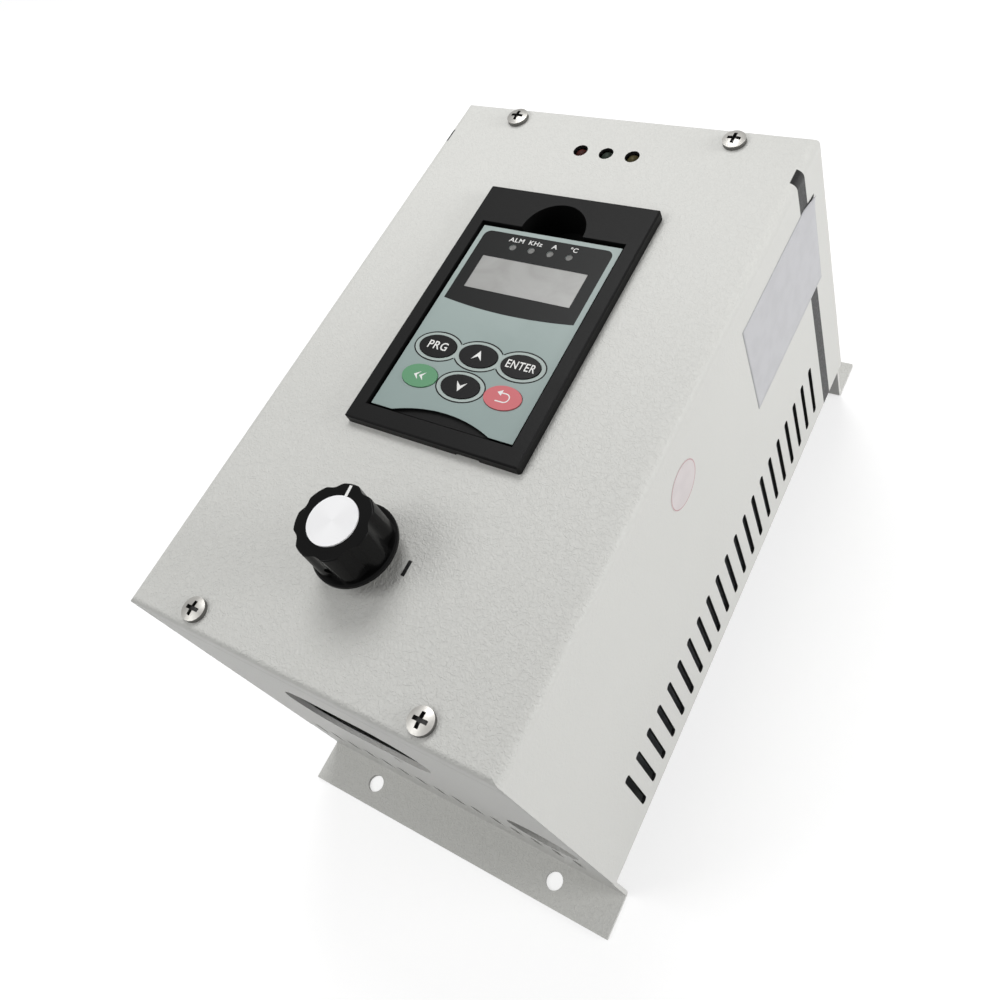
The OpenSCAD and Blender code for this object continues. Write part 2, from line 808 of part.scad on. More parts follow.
module ribbon_header() color([0.1, 0.1, 0.1])
    translate([0, pocket_y + ribbon_shift, board_top_z]) block(header_w, header_l, header_h);

// The lens shape of the scoop in the keypad's lower edge
module scoop_outline() {
    r = (scoop_half_w * scoop_half_w + scoop_sag * scoop_sag) / (2 * scoop_sag);
    translate([0, keypad_bottom_y + scoop_sag - r]) circle(r, $fn = 4 * $fn);
}

module window_outline(g)
    translate([0, window_y]) square([window_w + 2 * g, window_h + 2 * g], center = true);

module at_indicators() for (i = [0 : indicator_count - 1])
    translate([indicator_shift + (i - (indicator_count - 1) / 2) * indicator_pitch, indicator_y])
        children();

// Column, distance from the lower edge, half width and half height of each key
key_places = [
    [-key_pitch, key_inset + key_row_pitch, key_half_w, key_half_h],
    [0, key_inset + key_row_pitch, key_half_w, key_half_h],
    [key_pitch, key_inset + key_row_pitch, key_half_w, key_half_h],
    [-key_pitch, key_inset, key_half_w - key_trim, key_half_h],
    [0, key_inset, key_half_w, key_half_h],
    [key_pitch, key_inset, key_half_w - key_trim, key_half_h]];

module key_outline(k, g)
    translate([k[0], keypad_bottom_y + k[1]]) polygon(ellipse(k[2] + g, k[3] + g));

module keypad_openings() {
    for (k = key_places) key_outline(k, key_gap);
    window_outline(window_gap);
    at_indicators() circle(indicator_r);
}

module keypad_outline(g)
    translate([0, pocket_y]) square([keypad_w + 2 * g, keypad_h + 2 * g], center = true);

module keypad_case() color([0.12, 0.12, 0.12]) difference() {
    translate([0, 0, case_back_z]) linear_extrude(case_z - case_back_z) keypad_outline(0);
    translate([0, 0, case_back_z - overrun])
        linear_extrude(case_under_z - case_back_z + overrun) keypad_outline(-case_wall);
    translate([0, 0, case_z - scoop_d]) linear_extrude(scoop_d + overrun) scoop_outline();
    translate([0, 0, case_under_z - overrun]) linear_extrude(case_top_t + 2 * overrun) keypad_openings();
}

module at_bosses() for (x = [-1, 1], y = [-1, 1]) translate([
    x * (keypad_board_w / 2 - boss_inset), pocket_y + y * (keypad_board_h / 2 - boss_inset), 0]) children();

module keypad_back() color([0.12, 0.12, 0.12]) {
    translate([0, 0, keypad_floor_z]) linear_extrude(case_wall) keypad_outline(0);
    translate([0, 0, case_back_z]) at_bosses()
        cylinder(r = boss_r, h = keypad_board_z - board_t - case_back_z);
    translate([0, pocket_y, keypad_floor_z - plug_l]) block(plug_w, plug_t, plug_l);
}

module keypad_film() color([0.59, 0.65, 0.63]) translate([0, 0, case_z]) linear_extrude(film_t)
    difference() {
        keypad_outline(0);
        scoop_outline();
        keypad_openings();
    }

module display_window() color([0.62, 0.63, 0.62])
    translate([0, 0, film_z - window_t]) linear_extrude(window_t - film_t / 2) window_outline(0);

module display_module() color([0.2, 0.2, 0.2]) translate([0, 0, keypad_board_z])
    linear_extrude(film_z - window_t - keypad_board_z) window_outline(-module_margin);

module indicator_lamps() color([0.75, 0.2, 0.15]) translate([0, 0, keypad_board_z])
    at_indicators() cylinder(r = indicator_r - indicator_gap, h = case_z - keypad_board_z);

module keypad_board() color("darkgreen") translate([0, pocket_y, keypad_board_z - board_t])
    block(keypad_board_w, keypad_board_h, board_t);

module key_switches() color([0.25, 0.25, 0.25]) for (k = key_places)
    translate([k[0], keypad_bottom_y + k[1], keypad_board_z]) {
        block(switch_w, switch_w, switch_h);
        cylinder(r = switch_button_r, h = switch_h + switch_button_h);
    }

// A key: cap through the film, flange under the case's top and stem over its switch
module key(k) {
    translate([0, 0, case_under_z])
        linear_extrude(case_top_t + film_t + key_proud) key_outline(k, 0);
    translate([0, 0, flange_z]) linear_extrude(flange_t) key_outline(k, flange_reach);
    translate([k[0], keypad_bottom_y + k[1], stem_z]) cylinder(r = stem_r, h = stem_l + flange_t);
}

module key_program() color([0.1, 0.1, 0.1]) key(key_places[0]);
module key_up() color([0.1, 0.1, 0.1]) key(key_places[1]);
module key_enter() color([0.1, 0.1, 0.1]) key(key_places[2]);
module key_left() color([0.37, 0.65, 0.45]) key(key_places[3]);
module key_down() color([0.1, 0.1, 0.1]) key(key_places[4]);
module key_return() color([0.78, 0.41, 0.43]) key(key_places[5]);

module at_knob(z) translate([0, knob_y, z]) rotate([0, 0, pointer_turn]) children();

// Outline of the knob's grip: a wave of lobes, one of them under the pointer
function lobes() = [for (i = [0 : lobe_count * lobe_steps - 1])
    let (a = 360 * i / (lobe_count * lobe_steps),
         r = lobe_r - lobe_depth * pow((1 - cos(lobe_count * a)) / 2, hollow_power))
    [-r * sin(a), r * cos(a)]];

// Section that rounds the top edge of the grip and draws it in towards the top
module grip_section() {
    r = lobe_edge_r;
    top_r = lobe_r - lobe_edge_r / 2;
    polygon(concat([[0, 0], [lobe_r, 0], [top_r, knob_h - r]],
        [for (k = [0 : bend_steps]) [top_r - r + r * cos(90 * k / bend_steps),
                                     knob_h - r + r * sin(90 * k / bend_steps)]],
        [[0, knob_h]]));
}

module knob_body() color([0.08, 0.08, 0.08]) at_knob(knob_z) difference() {
    union() {
        rotate_extrude() polygon([[0, 0], [skirt_r - skirt_bevel, 0], [skirt_r, skirt_bevel],
            [skirt_r, skirt_h - skirt_bevel], [skirt_r - skirt_bevel, skirt_h], [0, skirt_h]]);
        intersection() {
            linear_extrude(knob_h) polygon(lobes());
            rotate_extrude() grip_section();
        }
    }
    translate([0, 0, -overrun]) difference() {
        cylinder(r = lobe_r - lobe_depth - knob_wall, h = hub_hollow_top + overrun);
        cylinder(r = hub_r, h = hub_hollow_top + overrun);
    }
    translate([0, 0, -overrun]) cylinder(r = shaft_r + knob_bore_gap, h = knob_bore_d + overrun);
    translate([0, 0, knob_h - cap_seat]) cylinder(r = cap_r + cap_gap, h = cap_seat + overrun);
    translate([-pointer_w / 2, cap_r + pointer_start_gap, knob_h - pointer_d])
        cube([pointer_w, lobe_r, pointer_d + overrun]);
    translate([0, 0, grub_z]) rotate([90, 0, 0]) cylinder(r = grub_r + thread_gap, h = skirt_r);
}

module knob_cap() color("lightgray") at_knob(knob_z + knob_h - cap_seat)
    cylinder(r = cap_r, h = cap_seat + cap_proud);

module knob_pointer() color("white") at_knob(knob_z + knob_h - pointer_d)
    translate([-pointer_w / 2, cap_r + pointer_start_gap, 0])
        cube([pointer_w, lobe_r - pointer_end_gap - cap_r - pointer_start_gap, pointer_d + pointer_proud]);

module knob_screw() color([0.3, 0.3, 0.3]) at_knob(knob_z + grub_z) rotate([90, 0, 0])
    translate([0, 0, shaft_r + knob_bore_gap]) difference() {
        cylinder(r = grub_r, h = grub_l);
        translate([0, 0, grub_l / 2]) hexagon(grub_r / 2, grub_l);
    }

module pot_shaft() color("silver") translate([0, knob_y, inner_face_z - pot_d + shaft_floor])
    cylinder(r = shaft_r, h = sheet_t + pot_d - shaft_floor + knob_lift + knob_bore_d - hole_gap);

module pot_body() color([0.35, 0.35, 0.35]) translate([0, knob_y, inner_face_z]) difference() {
    union() {
        translate([0, 0, -pot_d]) cylinder(r = pot_r, h = pot_d);
        cylinder(r = bush_r, h = sheet_t + bush_h);
        translate([0, -pot_r, -pot_lug_drop]) block(pot_lug_w, pot_lug_l, pot_lug_t);
    }
    translate([0, 0, shaft_floor - pot_d - hole_gap])
        cylinder(r = shaft_r + shaft_gap, h = pot_d + sheet_t + bush_h + overrun);
}

module pot_washer() color("silver") translate([0, knob_y, face_z]) difference() {
    cylinder(r = washer_r, h = washer_t);
    translate([0, 0, -overrun]) cylinder(r = bush_r + thread_gap, h = washer_t + 2 * overrun);
}

module pot_nut() color("silver") translate([0, knob_y, face_z + washer_t])
    nut(pot_nut_r, pot_nut_h, bush_r + thread_gap);

// A domed light with its flange, standing on the light board
module lamp(i) translate([i * lamp_pitch, lamp_y, lamp_board_z]) {
    cylinder(r = lamp_r, h = lamp_l - lamp_r);
    translate([0, 0, lamp_l - lamp_r]) sphere(lamp_r);
    cylinder(r = lamp_flange_r, h = lamp_flange_h);
}

module lamp_red() color([0.35, 0.12, 0.1]) lamp(-1);
module lamp_green() color([0.18, 0.25, 0.2]) lamp(0);
module lamp_yellow() color([0.4, 0.38, 0.2]) lamp(1);

module lamp_board() color("darkgreen") translate([0, lamp_y, lamp_board_z - board_t])
    block(lamp_board_w, lamp_board_h, board_t);

module lamp_spacers() color("silver") for (x = [-1, 1])
    translate([x * spacer_x, lamp_y, lamp_board_z]) cylinder(r = spacer_r, h = inner_face_z - lamp_board_z);

module at_sink_screws() for (x = [-1, 1], y = [-1, 1])
    translate([x * (sink_w - outer_fin_t) / 2, y * sink_screw_share * sink_l / 2, 0]) children();

// Extruded section: a base over thick outer fins and a row of thin ones
module sink_section() {
    translate([-sink_w / 2, sink_h - sink_base_t]) square([sink_w, sink_base_t]);
    for (x = [-1, 1]) translate([(x * (sink_w - outer_fin_t) - outer_fin_t) / 2, 0])
        square([outer_fin_t, sink_h]);
    for (i = [1 : fin_count])
        translate([(i / (fin_count + 1) - 1 / 2) * (sink_w - outer_fin_t) - fin_t / 2, frame_gap])
            square([fin_t, sink_h - frame_gap]);
}

module at_device_screws() {
    for (x = [-1, 1]) translate([x * transistor_screw_pitch / 2, transistor_y, 0]) children();
    translate([0, rectifier_y, 0]) children();
}

module heatsink() color("lightgray") translate([0, 0, sink_z]) difference() {
    along_y(sink_l) sink_section();
    at_sink_screws() translate([0, 0, -overrun])
        cylinder(r = screw_r + thread_gap, h = sink_screw_l + overrun);
    translate([0, 0, sink_h - device_screw_l])
        at_device_screws() cylinder(r = device_screw_r + thread_gap, h = device_screw_l + overrun);
}

module heatsink_screws() color("silver") translate([0, 0, back_z]) at_sink_screws()
    mirror([0, 0, 1]) pan_screw(screw_r, sink_screw_l, screw_head_r, screw_head_h);

// Power module with lowered ends for its screws
module power_transistors() color([0.15, 0.15, 0.15]) translate([0, transistor_y, sink_top_z])
    difference() {
        union() {
            block(transistor_w, transistor_l, transistor_step);
            block(transistor_screw_pitch - 2 * screw_head_r, transistor_l, transistor_h);
        }
        for (x = [-1, 1]) translate([x * transistor_screw_pitch / 2, 0, -overrun])
            cylinder(r = device_screw_r + hole_gap, h = transistor_step + 2 * overrun);
    }

module bridge_rectifier() color([0.2, 0.2, 0.2]) translate([0, rectifier_y, sink_top_z]) difference() {
    block(rectifier_w, rectifier_w, rectifier_h);
    translate([0, 0, -overrun]) cylinder(r = device_screw_r + hole_gap, h = rectifier_h + 2 * overrun);
}

module device_screws() color("silver") translate([0, 0, sink_top_z]) {
    for (x = [-1, 1]) translate([x * transistor_screw_pitch / 2, transistor_y, transistor_step])
        pan_screw(device_screw_r, transistor_step + device_screw_l - hole_gap,
                  device_screw_head_r, device_screw_head_h);
    translate([0, rectifier_y, rectifier_h])
        pan_screw(device_screw_r, rectifier_h + device_screw_l - hole_gap,
                  device_screw_head_r, device_screw_head_h);
}

module power_board() color("darkgreen") translate([0, board_y, board_z]) block(board_w, board_l, board_t);

module board_pillars() color("goldenrod") for (x = [-1, 1], y = [-1, 1])
    translate([x * (sink_w / 2 - pillar_inset_x), y * (sink_l / 2 - pillar_inset_y), sink_top_z])
        hexagon(pillar_r, board_rise);

module film_capacitors() color([0.75, 0.7, 0.55]) for (i = [0 : film_cap_count - 1])
    translate([film_cap_x, film_cap_y + i * film_cap_pitch, board_top_z])
        linear_extrude(film_cap_h) rounded(film_cap_w, film_cap_l, film_cap_edge_r);

module smoothing_capacitors() color([0.2, 0.25, 0.35]) for (x = [-1, 1])
    translate([x * can_x, can_y, board_top_z]) rotate_extrude() polygon([
        [0, 0], [can_r - can_edge, 0], [can_r, can_edge],
        [can_r, can_h - can_edge], [can_r - can_edge, can_h], [0, can_h]]);

// Frame core: two windows beside the middle limb
module choke_core() color([0.25, 0.25, 0.27]) translate([core_x, core_y, board_top_z])
    along_y(core_l - 2 * winding_t) difference() {
        translate([-core_w / 2, 0]) square([core_w, core_h]);
        for (x = [-1, 1]) translate([x * core_w / 4, core_h / 2])
            square([core_w / 2 - core_limb_w, core_window_h], center = true);
    }

// Winding round the middle limb, its turns running out past both faces of the core
module choke_winding() color([0.72, 0.45, 0.2])
    translate([core_x, core_y, board_top_z + core_h / 2 - core_window_h / 2 + winding_gap])
        linear_extrude(core_window_h - 2 * winding_gap) difference() {
            square([core_limb_w + 2 * winding_t, core_l], center = true);
            square([core_limb_w + 2 * winding_gap, core_l - 2 * winding_t + 2 * winding_gap], center = true);
        }

module current_transformer() color([0.15, 0.2, 0.4])
    translate([coil_opening_x - bar_x, bar_y, board_top_z]) rotate_extrude()
        translate([ring_bore_r, 0]) square([ring_r - ring_bore_r, ring_h]);

module at_bars() for (x = [-1, 1]) translate([coil_opening_x + x * bar_x, bar_y, board_top_z]) children();

module output_bars() color([0.72, 0.45, 0.2]) at_bars() difference() {
    block(bar_w, bar_t, bar_h);
    translate([0, 0, bar_h - bar_hole_inset]) rotate([90, 0, 0])
        cylinder(r = bolt_r + hole_gap, h = bar_t + 2 * overrun, center = true);
}

module output_bolts() color("silver") at_bars()
    translate([0, bar_t / 2, bar_h - bar_hole_inset]) rotate([90, 0, 0]) {
        translate([0, 0, -bolt_head_h]) hexagon(bolt_head_r, bolt_head_h);
        cylinder(r = bolt_r, h = bolt_l);
    }

// Terminal block: a row of cable entries facing the cable hole, each under its screw
module at_ways() for (i = [0 : block_ways - 1])
    translate([(i - (block_ways - 1) / 2) * block_w / block_ways, 0, 0]) children();

module terminal_block() color([0.85, 0.85, 0.8]) translate([block_x, block_y, floor_z]) difference() {
    block(block_w, block_l, block_h);
    at_ways() {
        translate([0, -block_l / 2, block_entry_z]) block(block_entry_w, block_l, block_entry_h);
        translate([0, 0, block_h - block_screw_d])
            cylinder(r = block_screw_r + thread_gap, h = block_screw_d + overrun);
    }
}

module terminal_screws() color("silver")
    translate([block_x, block_y, floor_z + block_h - block_screw_d]) at_ways() difference() {
        cylinder(r = block_screw_r, h = block_screw_d - block_screw_sink);
        translate([0, 0, block_screw_d - block_screw_sink - cross_w])
            block(2 * block_screw_r + overrun, cross_w, cross_w + overrun);
    }

module earth_stud() color("goldenrod") translate([stud_x, stud_y, floor_z]) {
    cylinder(r = stud_r, h = stud_h);
    hexagon(stud_nut_r, stud_nut_h);
    translate([0, 0, stud_h / 2]) hexagon(stud_nut_r, stud_nut_h);
}

// The fan is drawn with its axis along Z and turned to face the upper end wall
module at_fan() translate([0, fan_y, fan_z]) rotate([-90, 0, 0]) children();

module fan_frame() color([0.13, 0.13, 0.13]) at_fan() difference() {
    union() {
        difference() {
            linear_extrude(fan_t) rounded(fan_w, fan_w, fan_corner_r);
            translate([0, 0, -overrun]) cylinder(r = fan_bore_r, h = fan_t + 2 * overrun);
        }
        for (i = [0 : strut_count - 1]) rotate([0, 0, 360 * i / strut_count])
            translate([0, -strut_w / 2, 0]) cube([fan_bore_r + overrun, strut_w, fan_plate_t]);
        cylinder(r = fan_hub_r, h = fan_plate_t);
        cylinder(r = stator_r, h = fan_plate_t + stator_h);
    }
    translate([0, 0, -overrun])
        cylinder(r = fan_shaft_r + fan_shaft_gap, h = fan_plate_t + stator_h + 2 * overrun);
    at_fan_screws() translate([0, 0, fan_t - fan_screw_l - overrun])
        cylinder(r = fan_screw_r + thread_gap, h = fan_screw_l + 2 * overrun);
}

// Section of a cambered blade, across its width and along the fan's axis
function blade_arc(r) = [for (k = [0 : blade_steps])
    let (a = blade_from + (blade_to - blade_from) * k / blade_steps) r * [cos(a), sin(a)]];

module blade() {
    middle = (blade_from + blade_to) / 2;
    rotate([90, 0, 90]) translate([0, 0, fan_hub_r - blade_root])
        linear_extrude(fan_bore_r - fan_hub_r)
            translate([-blade_arc_r * cos(middle), rotor_z + rotor_h / 2 - blade_arc_r * sin(middle)])
                polygon(concat(blade_arc(blade_arc_r + blade_t / 2),
                               reversed(blade_arc(blade_arc_r - blade_t / 2))));
}

module fan_rotor() color([0.13, 0.13, 0.13]) at_fan() {
    difference() {
        translate([0, 0, rotor_z]) cylinder(r = fan_hub_r, h = rotor_h);
        translate([0, 0, rotor_z - overrun])
            cylinder(r = fan_hub_r - rotor_wall, h = rotor_h - rotor_top + overrun);
    }
    translate([0, 0, rotor_gap]) cylinder(r = fan_shaft_r, h = rotor_z + rotor_h - rotor_gap - rotor_top / 2);
    intersection() {
        for (i = [0 : blade_count - 1]) rotate([0, 0, 360 * i / blade_count]) blade();
        cylinder(r = fan_bore_r - tip_gap, h = fan_t);
    }
}

module fan_screws() color("silver") translate([0, end_y, fan_z]) rotate([-90, 0, 0])
    at_fan_screws() pan_screw(fan_screw_r, frame_t + fan_screw_l, screw_head_r, screw_head_h);

cover();
end_frame_bottom();
end_frame_top();
back_plate();
cover_screws();
cover_nuts();
keypad_tray();
keypad_socket();
ribbon_cable();
ribbon_header();
keypad_case();
keypad_back();
keypad_film();
display_window();
display_module();
indicator_lamps();
keypad_board();
key_switches();
key_program();
key_up();
key_enter();
key_left();
key_down();
key_return();
knob_body();
knob_cap();
knob_pointer();
knob_screw();
pot_shaft();
pot_body();
pot_washer();
pot_nut();
lamp_red();
lamp_green();
lamp_yellow();
lamp_board();
lamp_spacers();
heatsink();
heatsink_screws();
power_transistors();
bridge_rectifier();
device_screws();
power_board();
board_pillars();
film_capacitors();
smoothing_capacitors();
choke_core();
choke_winding();
current_transformer();
output_bars();
output_bolts();
terminal_block();
terminal_screws();
earth_stud();
fan_frame();
fan_rotor();
fan_screws();
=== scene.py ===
# Looks for the induction heating machine: camera, studio, finishes and printed pieces.
# Everything is in metres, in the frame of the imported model: z = 0 under the feet, +Z out of the face.
import math

import bmesh
import bpy
from mathutils import Euler, Matrix, Vector


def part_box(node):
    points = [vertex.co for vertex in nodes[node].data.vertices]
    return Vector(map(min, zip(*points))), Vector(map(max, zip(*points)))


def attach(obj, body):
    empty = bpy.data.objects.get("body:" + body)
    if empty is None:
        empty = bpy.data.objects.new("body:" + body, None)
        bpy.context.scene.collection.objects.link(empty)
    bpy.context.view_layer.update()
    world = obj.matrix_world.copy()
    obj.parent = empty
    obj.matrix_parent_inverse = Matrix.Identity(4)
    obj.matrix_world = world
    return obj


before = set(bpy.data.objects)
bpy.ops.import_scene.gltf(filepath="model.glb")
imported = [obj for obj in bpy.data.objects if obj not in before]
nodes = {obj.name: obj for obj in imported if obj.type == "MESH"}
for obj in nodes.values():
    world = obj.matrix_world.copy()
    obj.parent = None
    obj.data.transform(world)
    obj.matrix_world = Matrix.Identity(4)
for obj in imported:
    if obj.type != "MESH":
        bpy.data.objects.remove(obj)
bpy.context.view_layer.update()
print("frame loaded:", len(nodes), "nodes")

mm = 0.001
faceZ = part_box("cover")[1].z
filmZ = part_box("keypad_film")[1].z


# Camera, as the photograph was taken; lens and sensor are in millimetres
view = {
    "place": (0.16894, -0.12954, 0.37590),
    "turnDeg": (34.7026, 18.5665, 29.227),
    "lens": 36.648,
    "sensor": 36,
    "shift": (0.00136, -0.07101),
    "nearest": 0.01,
}


def addCamera(spec):
    data = bpy.data.cameras.new("camera")
    data.sensor_width = spec["sensor"]
    data.lens = spec["lens"]
    data.shift_x, data.shift_y = spec["shift"]
    data.clip_start = spec["nearest"]
    camera = bpy.data.objects.new("camera", data)
    camera.location = spec["place"]
    camera.rotation_euler = Euler([math.radians(a) for a in spec["turnDeg"]], "XYZ")
    bpy.context.scene.collection.objects.link(camera)
    bpy.context.scene.camera = camera


addCamera(view)
print("camera placed")


# Shader nodes as expressions: a Wire is a socket's output, and sums on it add Math nodes
class Wire:
    def __init__(self, tree, socket):
        self.tree = tree
        self.socket = socket

    def maths(self, operation, other=None, flip=False):
        node = self.tree.nodes.new("ShaderNodeMath")
        node.operation = operation
        pair = (other, self) if flip else (self, other)
        for slot, value in zip(node.inputs, pair):
            feed(self.tree, slot, value)
        return Wire(self.tree, node.outputs[0])

    def __add__(self, other):
        return self.maths("ADD", other)

    def __radd__(self, other):
        return self.maths("ADD", other, True)

    def __sub__(self, other):
        return self.maths("SUBTRACT", other)

    def __rsub__(self, other):
        return self.maths("SUBTRACT", other, True)

    def __mul__(self, other):
        return self.maths("MULTIPLY", other)

    def __rmul__(self, other):
        return self.maths("MULTIPLY", other, True)

    def __pow__(self, other):
        return self.maths("POWER", other)


def feed(tree, slot, value):
    if isinstance(value, Wire):
        tree.links.new(value.socket, slot)
    elif value is not None:
        slot.default_value = value


def distance(dx, dy):
    return (dx * dx + dy * dy) ** 0.5


# The curve from a screen's values to linear light
screenCurve = {"knee": 0.04045, "slope": 12.92, "offset": 0.055, "power": 2.4}


def linear(share):
    if share <= screenCurve["knee"]:
        return share / screenCurve["slope"]
    return ((share + screenCurve["offset"]) / (1 + screenCurve["offset"])) ** screenCurve["power"]


def colour(rgb):  # screen values from 0 to 255, turned to linear light
    return tuple(linear(c / 255) for c in rgb) + (1,)


def scaled(rgb, factor, extra=0):
    return [min(255, c * factor + extra) for c in rgb]


# Where a Mix node keeps its colour sockets
mixSockets = {"factor": 0, "first": 6, "second": 7, "result": 2}


class Finish:
    # One material: a Principled shader with its constants, and nodes added one by one
    def __init__(self, name, **constants):
        self.material = bpy.data.materials.new(name)
        self.material.use_nodes = True
        self.tree = self.material.node_tree
        self.shader = self.tree.nodes["Principled BSDF"]
        for key, value in constants.items():
            self.shader.inputs[key.replace("_", " ")].default_value = value
        self.place = self.node("TexCoord", out="Object")

    def node(self, kind, settings=None, inputs=None, out=0):
        node = self.tree.nodes.new("ShaderNode" + kind)
        for key, value in (settings or {}).items():
            setattr(node, key, value)
        for key, value in (inputs or {}).items():
            feed(self.tree, node.inputs[key], value)
        return Wire(self.tree, node.outputs[out])

    def noise(self, scale, detail=2.0, distortion=0.0, place=None):
        return self.node("TexNoise", None, {
            "Vector": place or self.place, "Scale": scale, "Detail": detail, "Distortion": distortion})

    def smooth(self, value, low, high, start=0.0, end=1.0):
        # Eases from start to end while the value goes from low to high
        return self.node("MapRange", {"interpolation_type": "SMOOTHSTEP"}, {
            "Value": value, "From Min": low, "From Max": high, "To Min": start, "To Max": end})

    def blend(self, factor, first, second):
        node = self.tree.nodes.new("ShaderNodeMix")
        node.data_type = "RGBA"
        feed(self.tree, node.inputs[mixSockets["factor"]], factor)
        feed(self.tree, node.inputs[mixSockets["first"]], first)
        feed(self.tree, node.inputs[mixSockets["second"]], second)
        return Wire(self.tree, node.outputs[mixSockets["result"]])

    def mottle(self, value, spread, first, second):
        # The second colour shows where the value is high; spread is low, high and the most it takes
        low, high, most = spread
        return self.blend(self.smooth(value, low, high, 0.0, most), first, second)

    def axes(self, place=None):
        split = self.tree.nodes.new("ShaderNodeSeparateXYZ")
        feed(self.tree, split.inputs[0], place or self.place)
        return [Wire(self.tree, split.outputs[i]) for i in range(3)]

    def upward(self):
        # 1 where the surface looks along +Z, 0 where it stands upright
        return self.axes(self.node("NewGeometry", out="Normal"))[2]

    def bump(self, height, depth):
        return self.node("Bump", None, {"Height": height, "Distance": depth, "Strength": 1.0})

    def link(self, **wires):
        for key, value in wires.items():
            feed(self.tree, self.shader.inputs[key.replace("_", " ")], value)
        return self.material


# Numbers of the finishes. A noise is given as scale, detail and distortion; a "Mix" is a spread
# for mottle; a "Tone" is a factor on the colour; a "Rough" or "Height" is what a pattern adds.

# Powder coat: fine worm-like wrinkles, plainer on the walls than on the face, with painted shade darkening
# the wrinkles' hollows
coat = {
    "shine": 0.3, "worms": (760, 1.5, 1.4), "grain": (1700, 2.0, 0.4), "patches": (9, 3.0),
    "ridges": (0.36, 0.66), "face": (0.3, 0.95), "wallWrinkle": 0.3, "patchMix": (0.3, 0.7, 0.35),
    "hollows": (0.0, 0.5), "hollowShadeShare": 0.1, "hollowShadeTone": 0.86,
    "rough": 0.42, "ridgeRough": 0.1, "ridgeHeight": 0.8, "grainHeight": 0.3, "depth": 0.11 * mm,
}

# The cover's face has painted shade that deepens towards the near end, where less light falls, and its
# wrinkles grow deeper there
nearEnd = {"shadeSpan": (-120 * mm, 80 * mm), "shadeShare": 0.48, "shadeTone": 0.9,
           "wrinkled": (-100 * mm, 100 * mm), "nearWrinkle": 1.25, "farWrinkle": 0.6}

# Painted shade in the cover's side slots and the row of light holes: the cut faces and the sheet's inside
# are painted dark where shade falls, starting a skin's thickness below the painted surface
holeShade = {"skin": 0.06 * mm, "slotTop": 75 * mm, "slotEnd": 100 * mm, "rim": 3 * mm,
       "lightY": 92 * mm, "lightReach": 3 * mm, "tone": (38, 38, 38)}


def holeShadeMask(f):
    x, y, z = f.axes()
    (_, _, lowZ), (highX, _, highZ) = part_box("cover")
    skin = holeShade["skin"]
    wall = f.smooth(x.maths("ABSOLUTE"), highX - skin * 2, highX - skin, 1.0, 0.0)
    slots = (wall * f.smooth(z, holeShade["slotTop"], holeShade["slotTop"] + skin, 1.0, 0.0)
             * f.smooth(z, lowZ + holeShade["rim"], lowZ + holeShade["rim"] + skin)
             * f.smooth(y.maths("ABSOLUTE"), holeShade["slotEnd"], holeShade["slotEnd"] + skin, 1.0, 0.0))
    under = f.smooth(z, highZ - skin * 2, highZ - skin, 1.0, 0.0)
    offRow = (y - holeShade["lightY"]).maths("ABSOLUTE")
    row = f.smooth(offRow, holeShade["lightReach"], holeShade["lightReach"] + skin, 1.0, 0.0)
    return slots.maths("MAXIMUM", under * row)


def wrinklePaint(name, tone, shade, coverShadeAndWrinkles=False):
    f = Finish(name, Specular_IOR_Level=coat["shine"])
    grain = f.noise(*coat["grain"])
    wrinkle = f.smooth(f.noise(*coat["worms"]), *coat["ridges"])
    upward = f.upward()
    strong = f.smooth(upward, *coat["face"], coat["wallWrinkle"], 1.0)
    # Painted shade: the hollows between the wrinkles are painted darker
    hollow = f.smooth(wrinkle, *coat["hollows"], coat["hollowShadeShare"], 0.0) * strong
    hue = f.mottle(f.noise(*coat["patches"]), coat["patchMix"], colour(tone), colour(shade))
    hue = f.blend(hollow, hue, colour(scaled(shade, coat["hollowShadeTone"])))
    if coverShadeAndWrinkles:
        y = f.axes()[1]
        # Painted shade on the face, deepening towards the near end
        nearShade = f.smooth(y, *nearEnd["shadeSpan"], nearEnd["shadeShare"], 0.0) * f.smooth(upward, *coat["face"])
        hue = f.blend(nearShade, hue, colour(scaled(shade, nearEnd["shadeTone"])))
        # Painted shade inside the side slots and the light holes
        hue = f.blend(holeShadeMask(f), hue, colour(holeShade["tone"]))
        strong = strong * f.smooth(y, *nearEnd["wrinkled"], nearEnd["nearWrinkle"], nearEnd["farWrinkle"])
    return f.link(
        Base_Color=hue,
        Roughness=coat["rough"] + wrinkle * coat["ridgeRough"],
        Normal=f.bump((wrinkle * coat["ridgeHeight"] + grain * coat["grainHeight"]) * strong, coat["depth"]))


# Rolled, turned or plated metal: long streaks, and a mottled plating with a few dull patches
metal = {"lines": (1.0, 3.0, 0.0), "cloud": (90, 4.0), "cloudMix": (0.35, 0.7, 0.7), "cloudTone": 0.82,
         "lineRough": 0.14, "cloudRough": 0.08, "depth": 0.01 * mm}
evenGrain = (900, 900, 900)


def plating(f, cloud, tone):
    return f.mottle(cloud, metal["cloudMix"], colour(tone), colour(scaled(tone, metal["cloudTone"])))


def sheetMetal(name, tone, rough, streak=(60, 1400, 60), metallic=1.0):
    f = Finish(name, Metallic=metallic)
    stretched = f.node("Mapping", None, {"Vector": f.place, "Scale": streak})
    lines = f.noise(*metal["lines"], stretched)
    cloud = f.noise(*metal["cloud"])
    return f.link(
        Base_Color=plating(f, cloud, tone),
        Roughness=rough + lines * metal["lineRough"] + cloud * metal["cloudRough"],
        Normal=f.bump(lines, metal["depth"]))


# The cover's screws: plated, with painted shade down in the cross recess and round the head's flank
screwHead = {"radius": 3.9 * mm, "cross": (2.25 * mm, 2.5 * mm), "deep": (0.6 * mm, 0.36 * mm),
             "metallic": 0.7, "rough": 0.34, "lines": (900, 3.0),
             "shadedFlank": (0.3, 0.75), "flankShadeShare": 0.8, "flankShadeTone": 0.4}


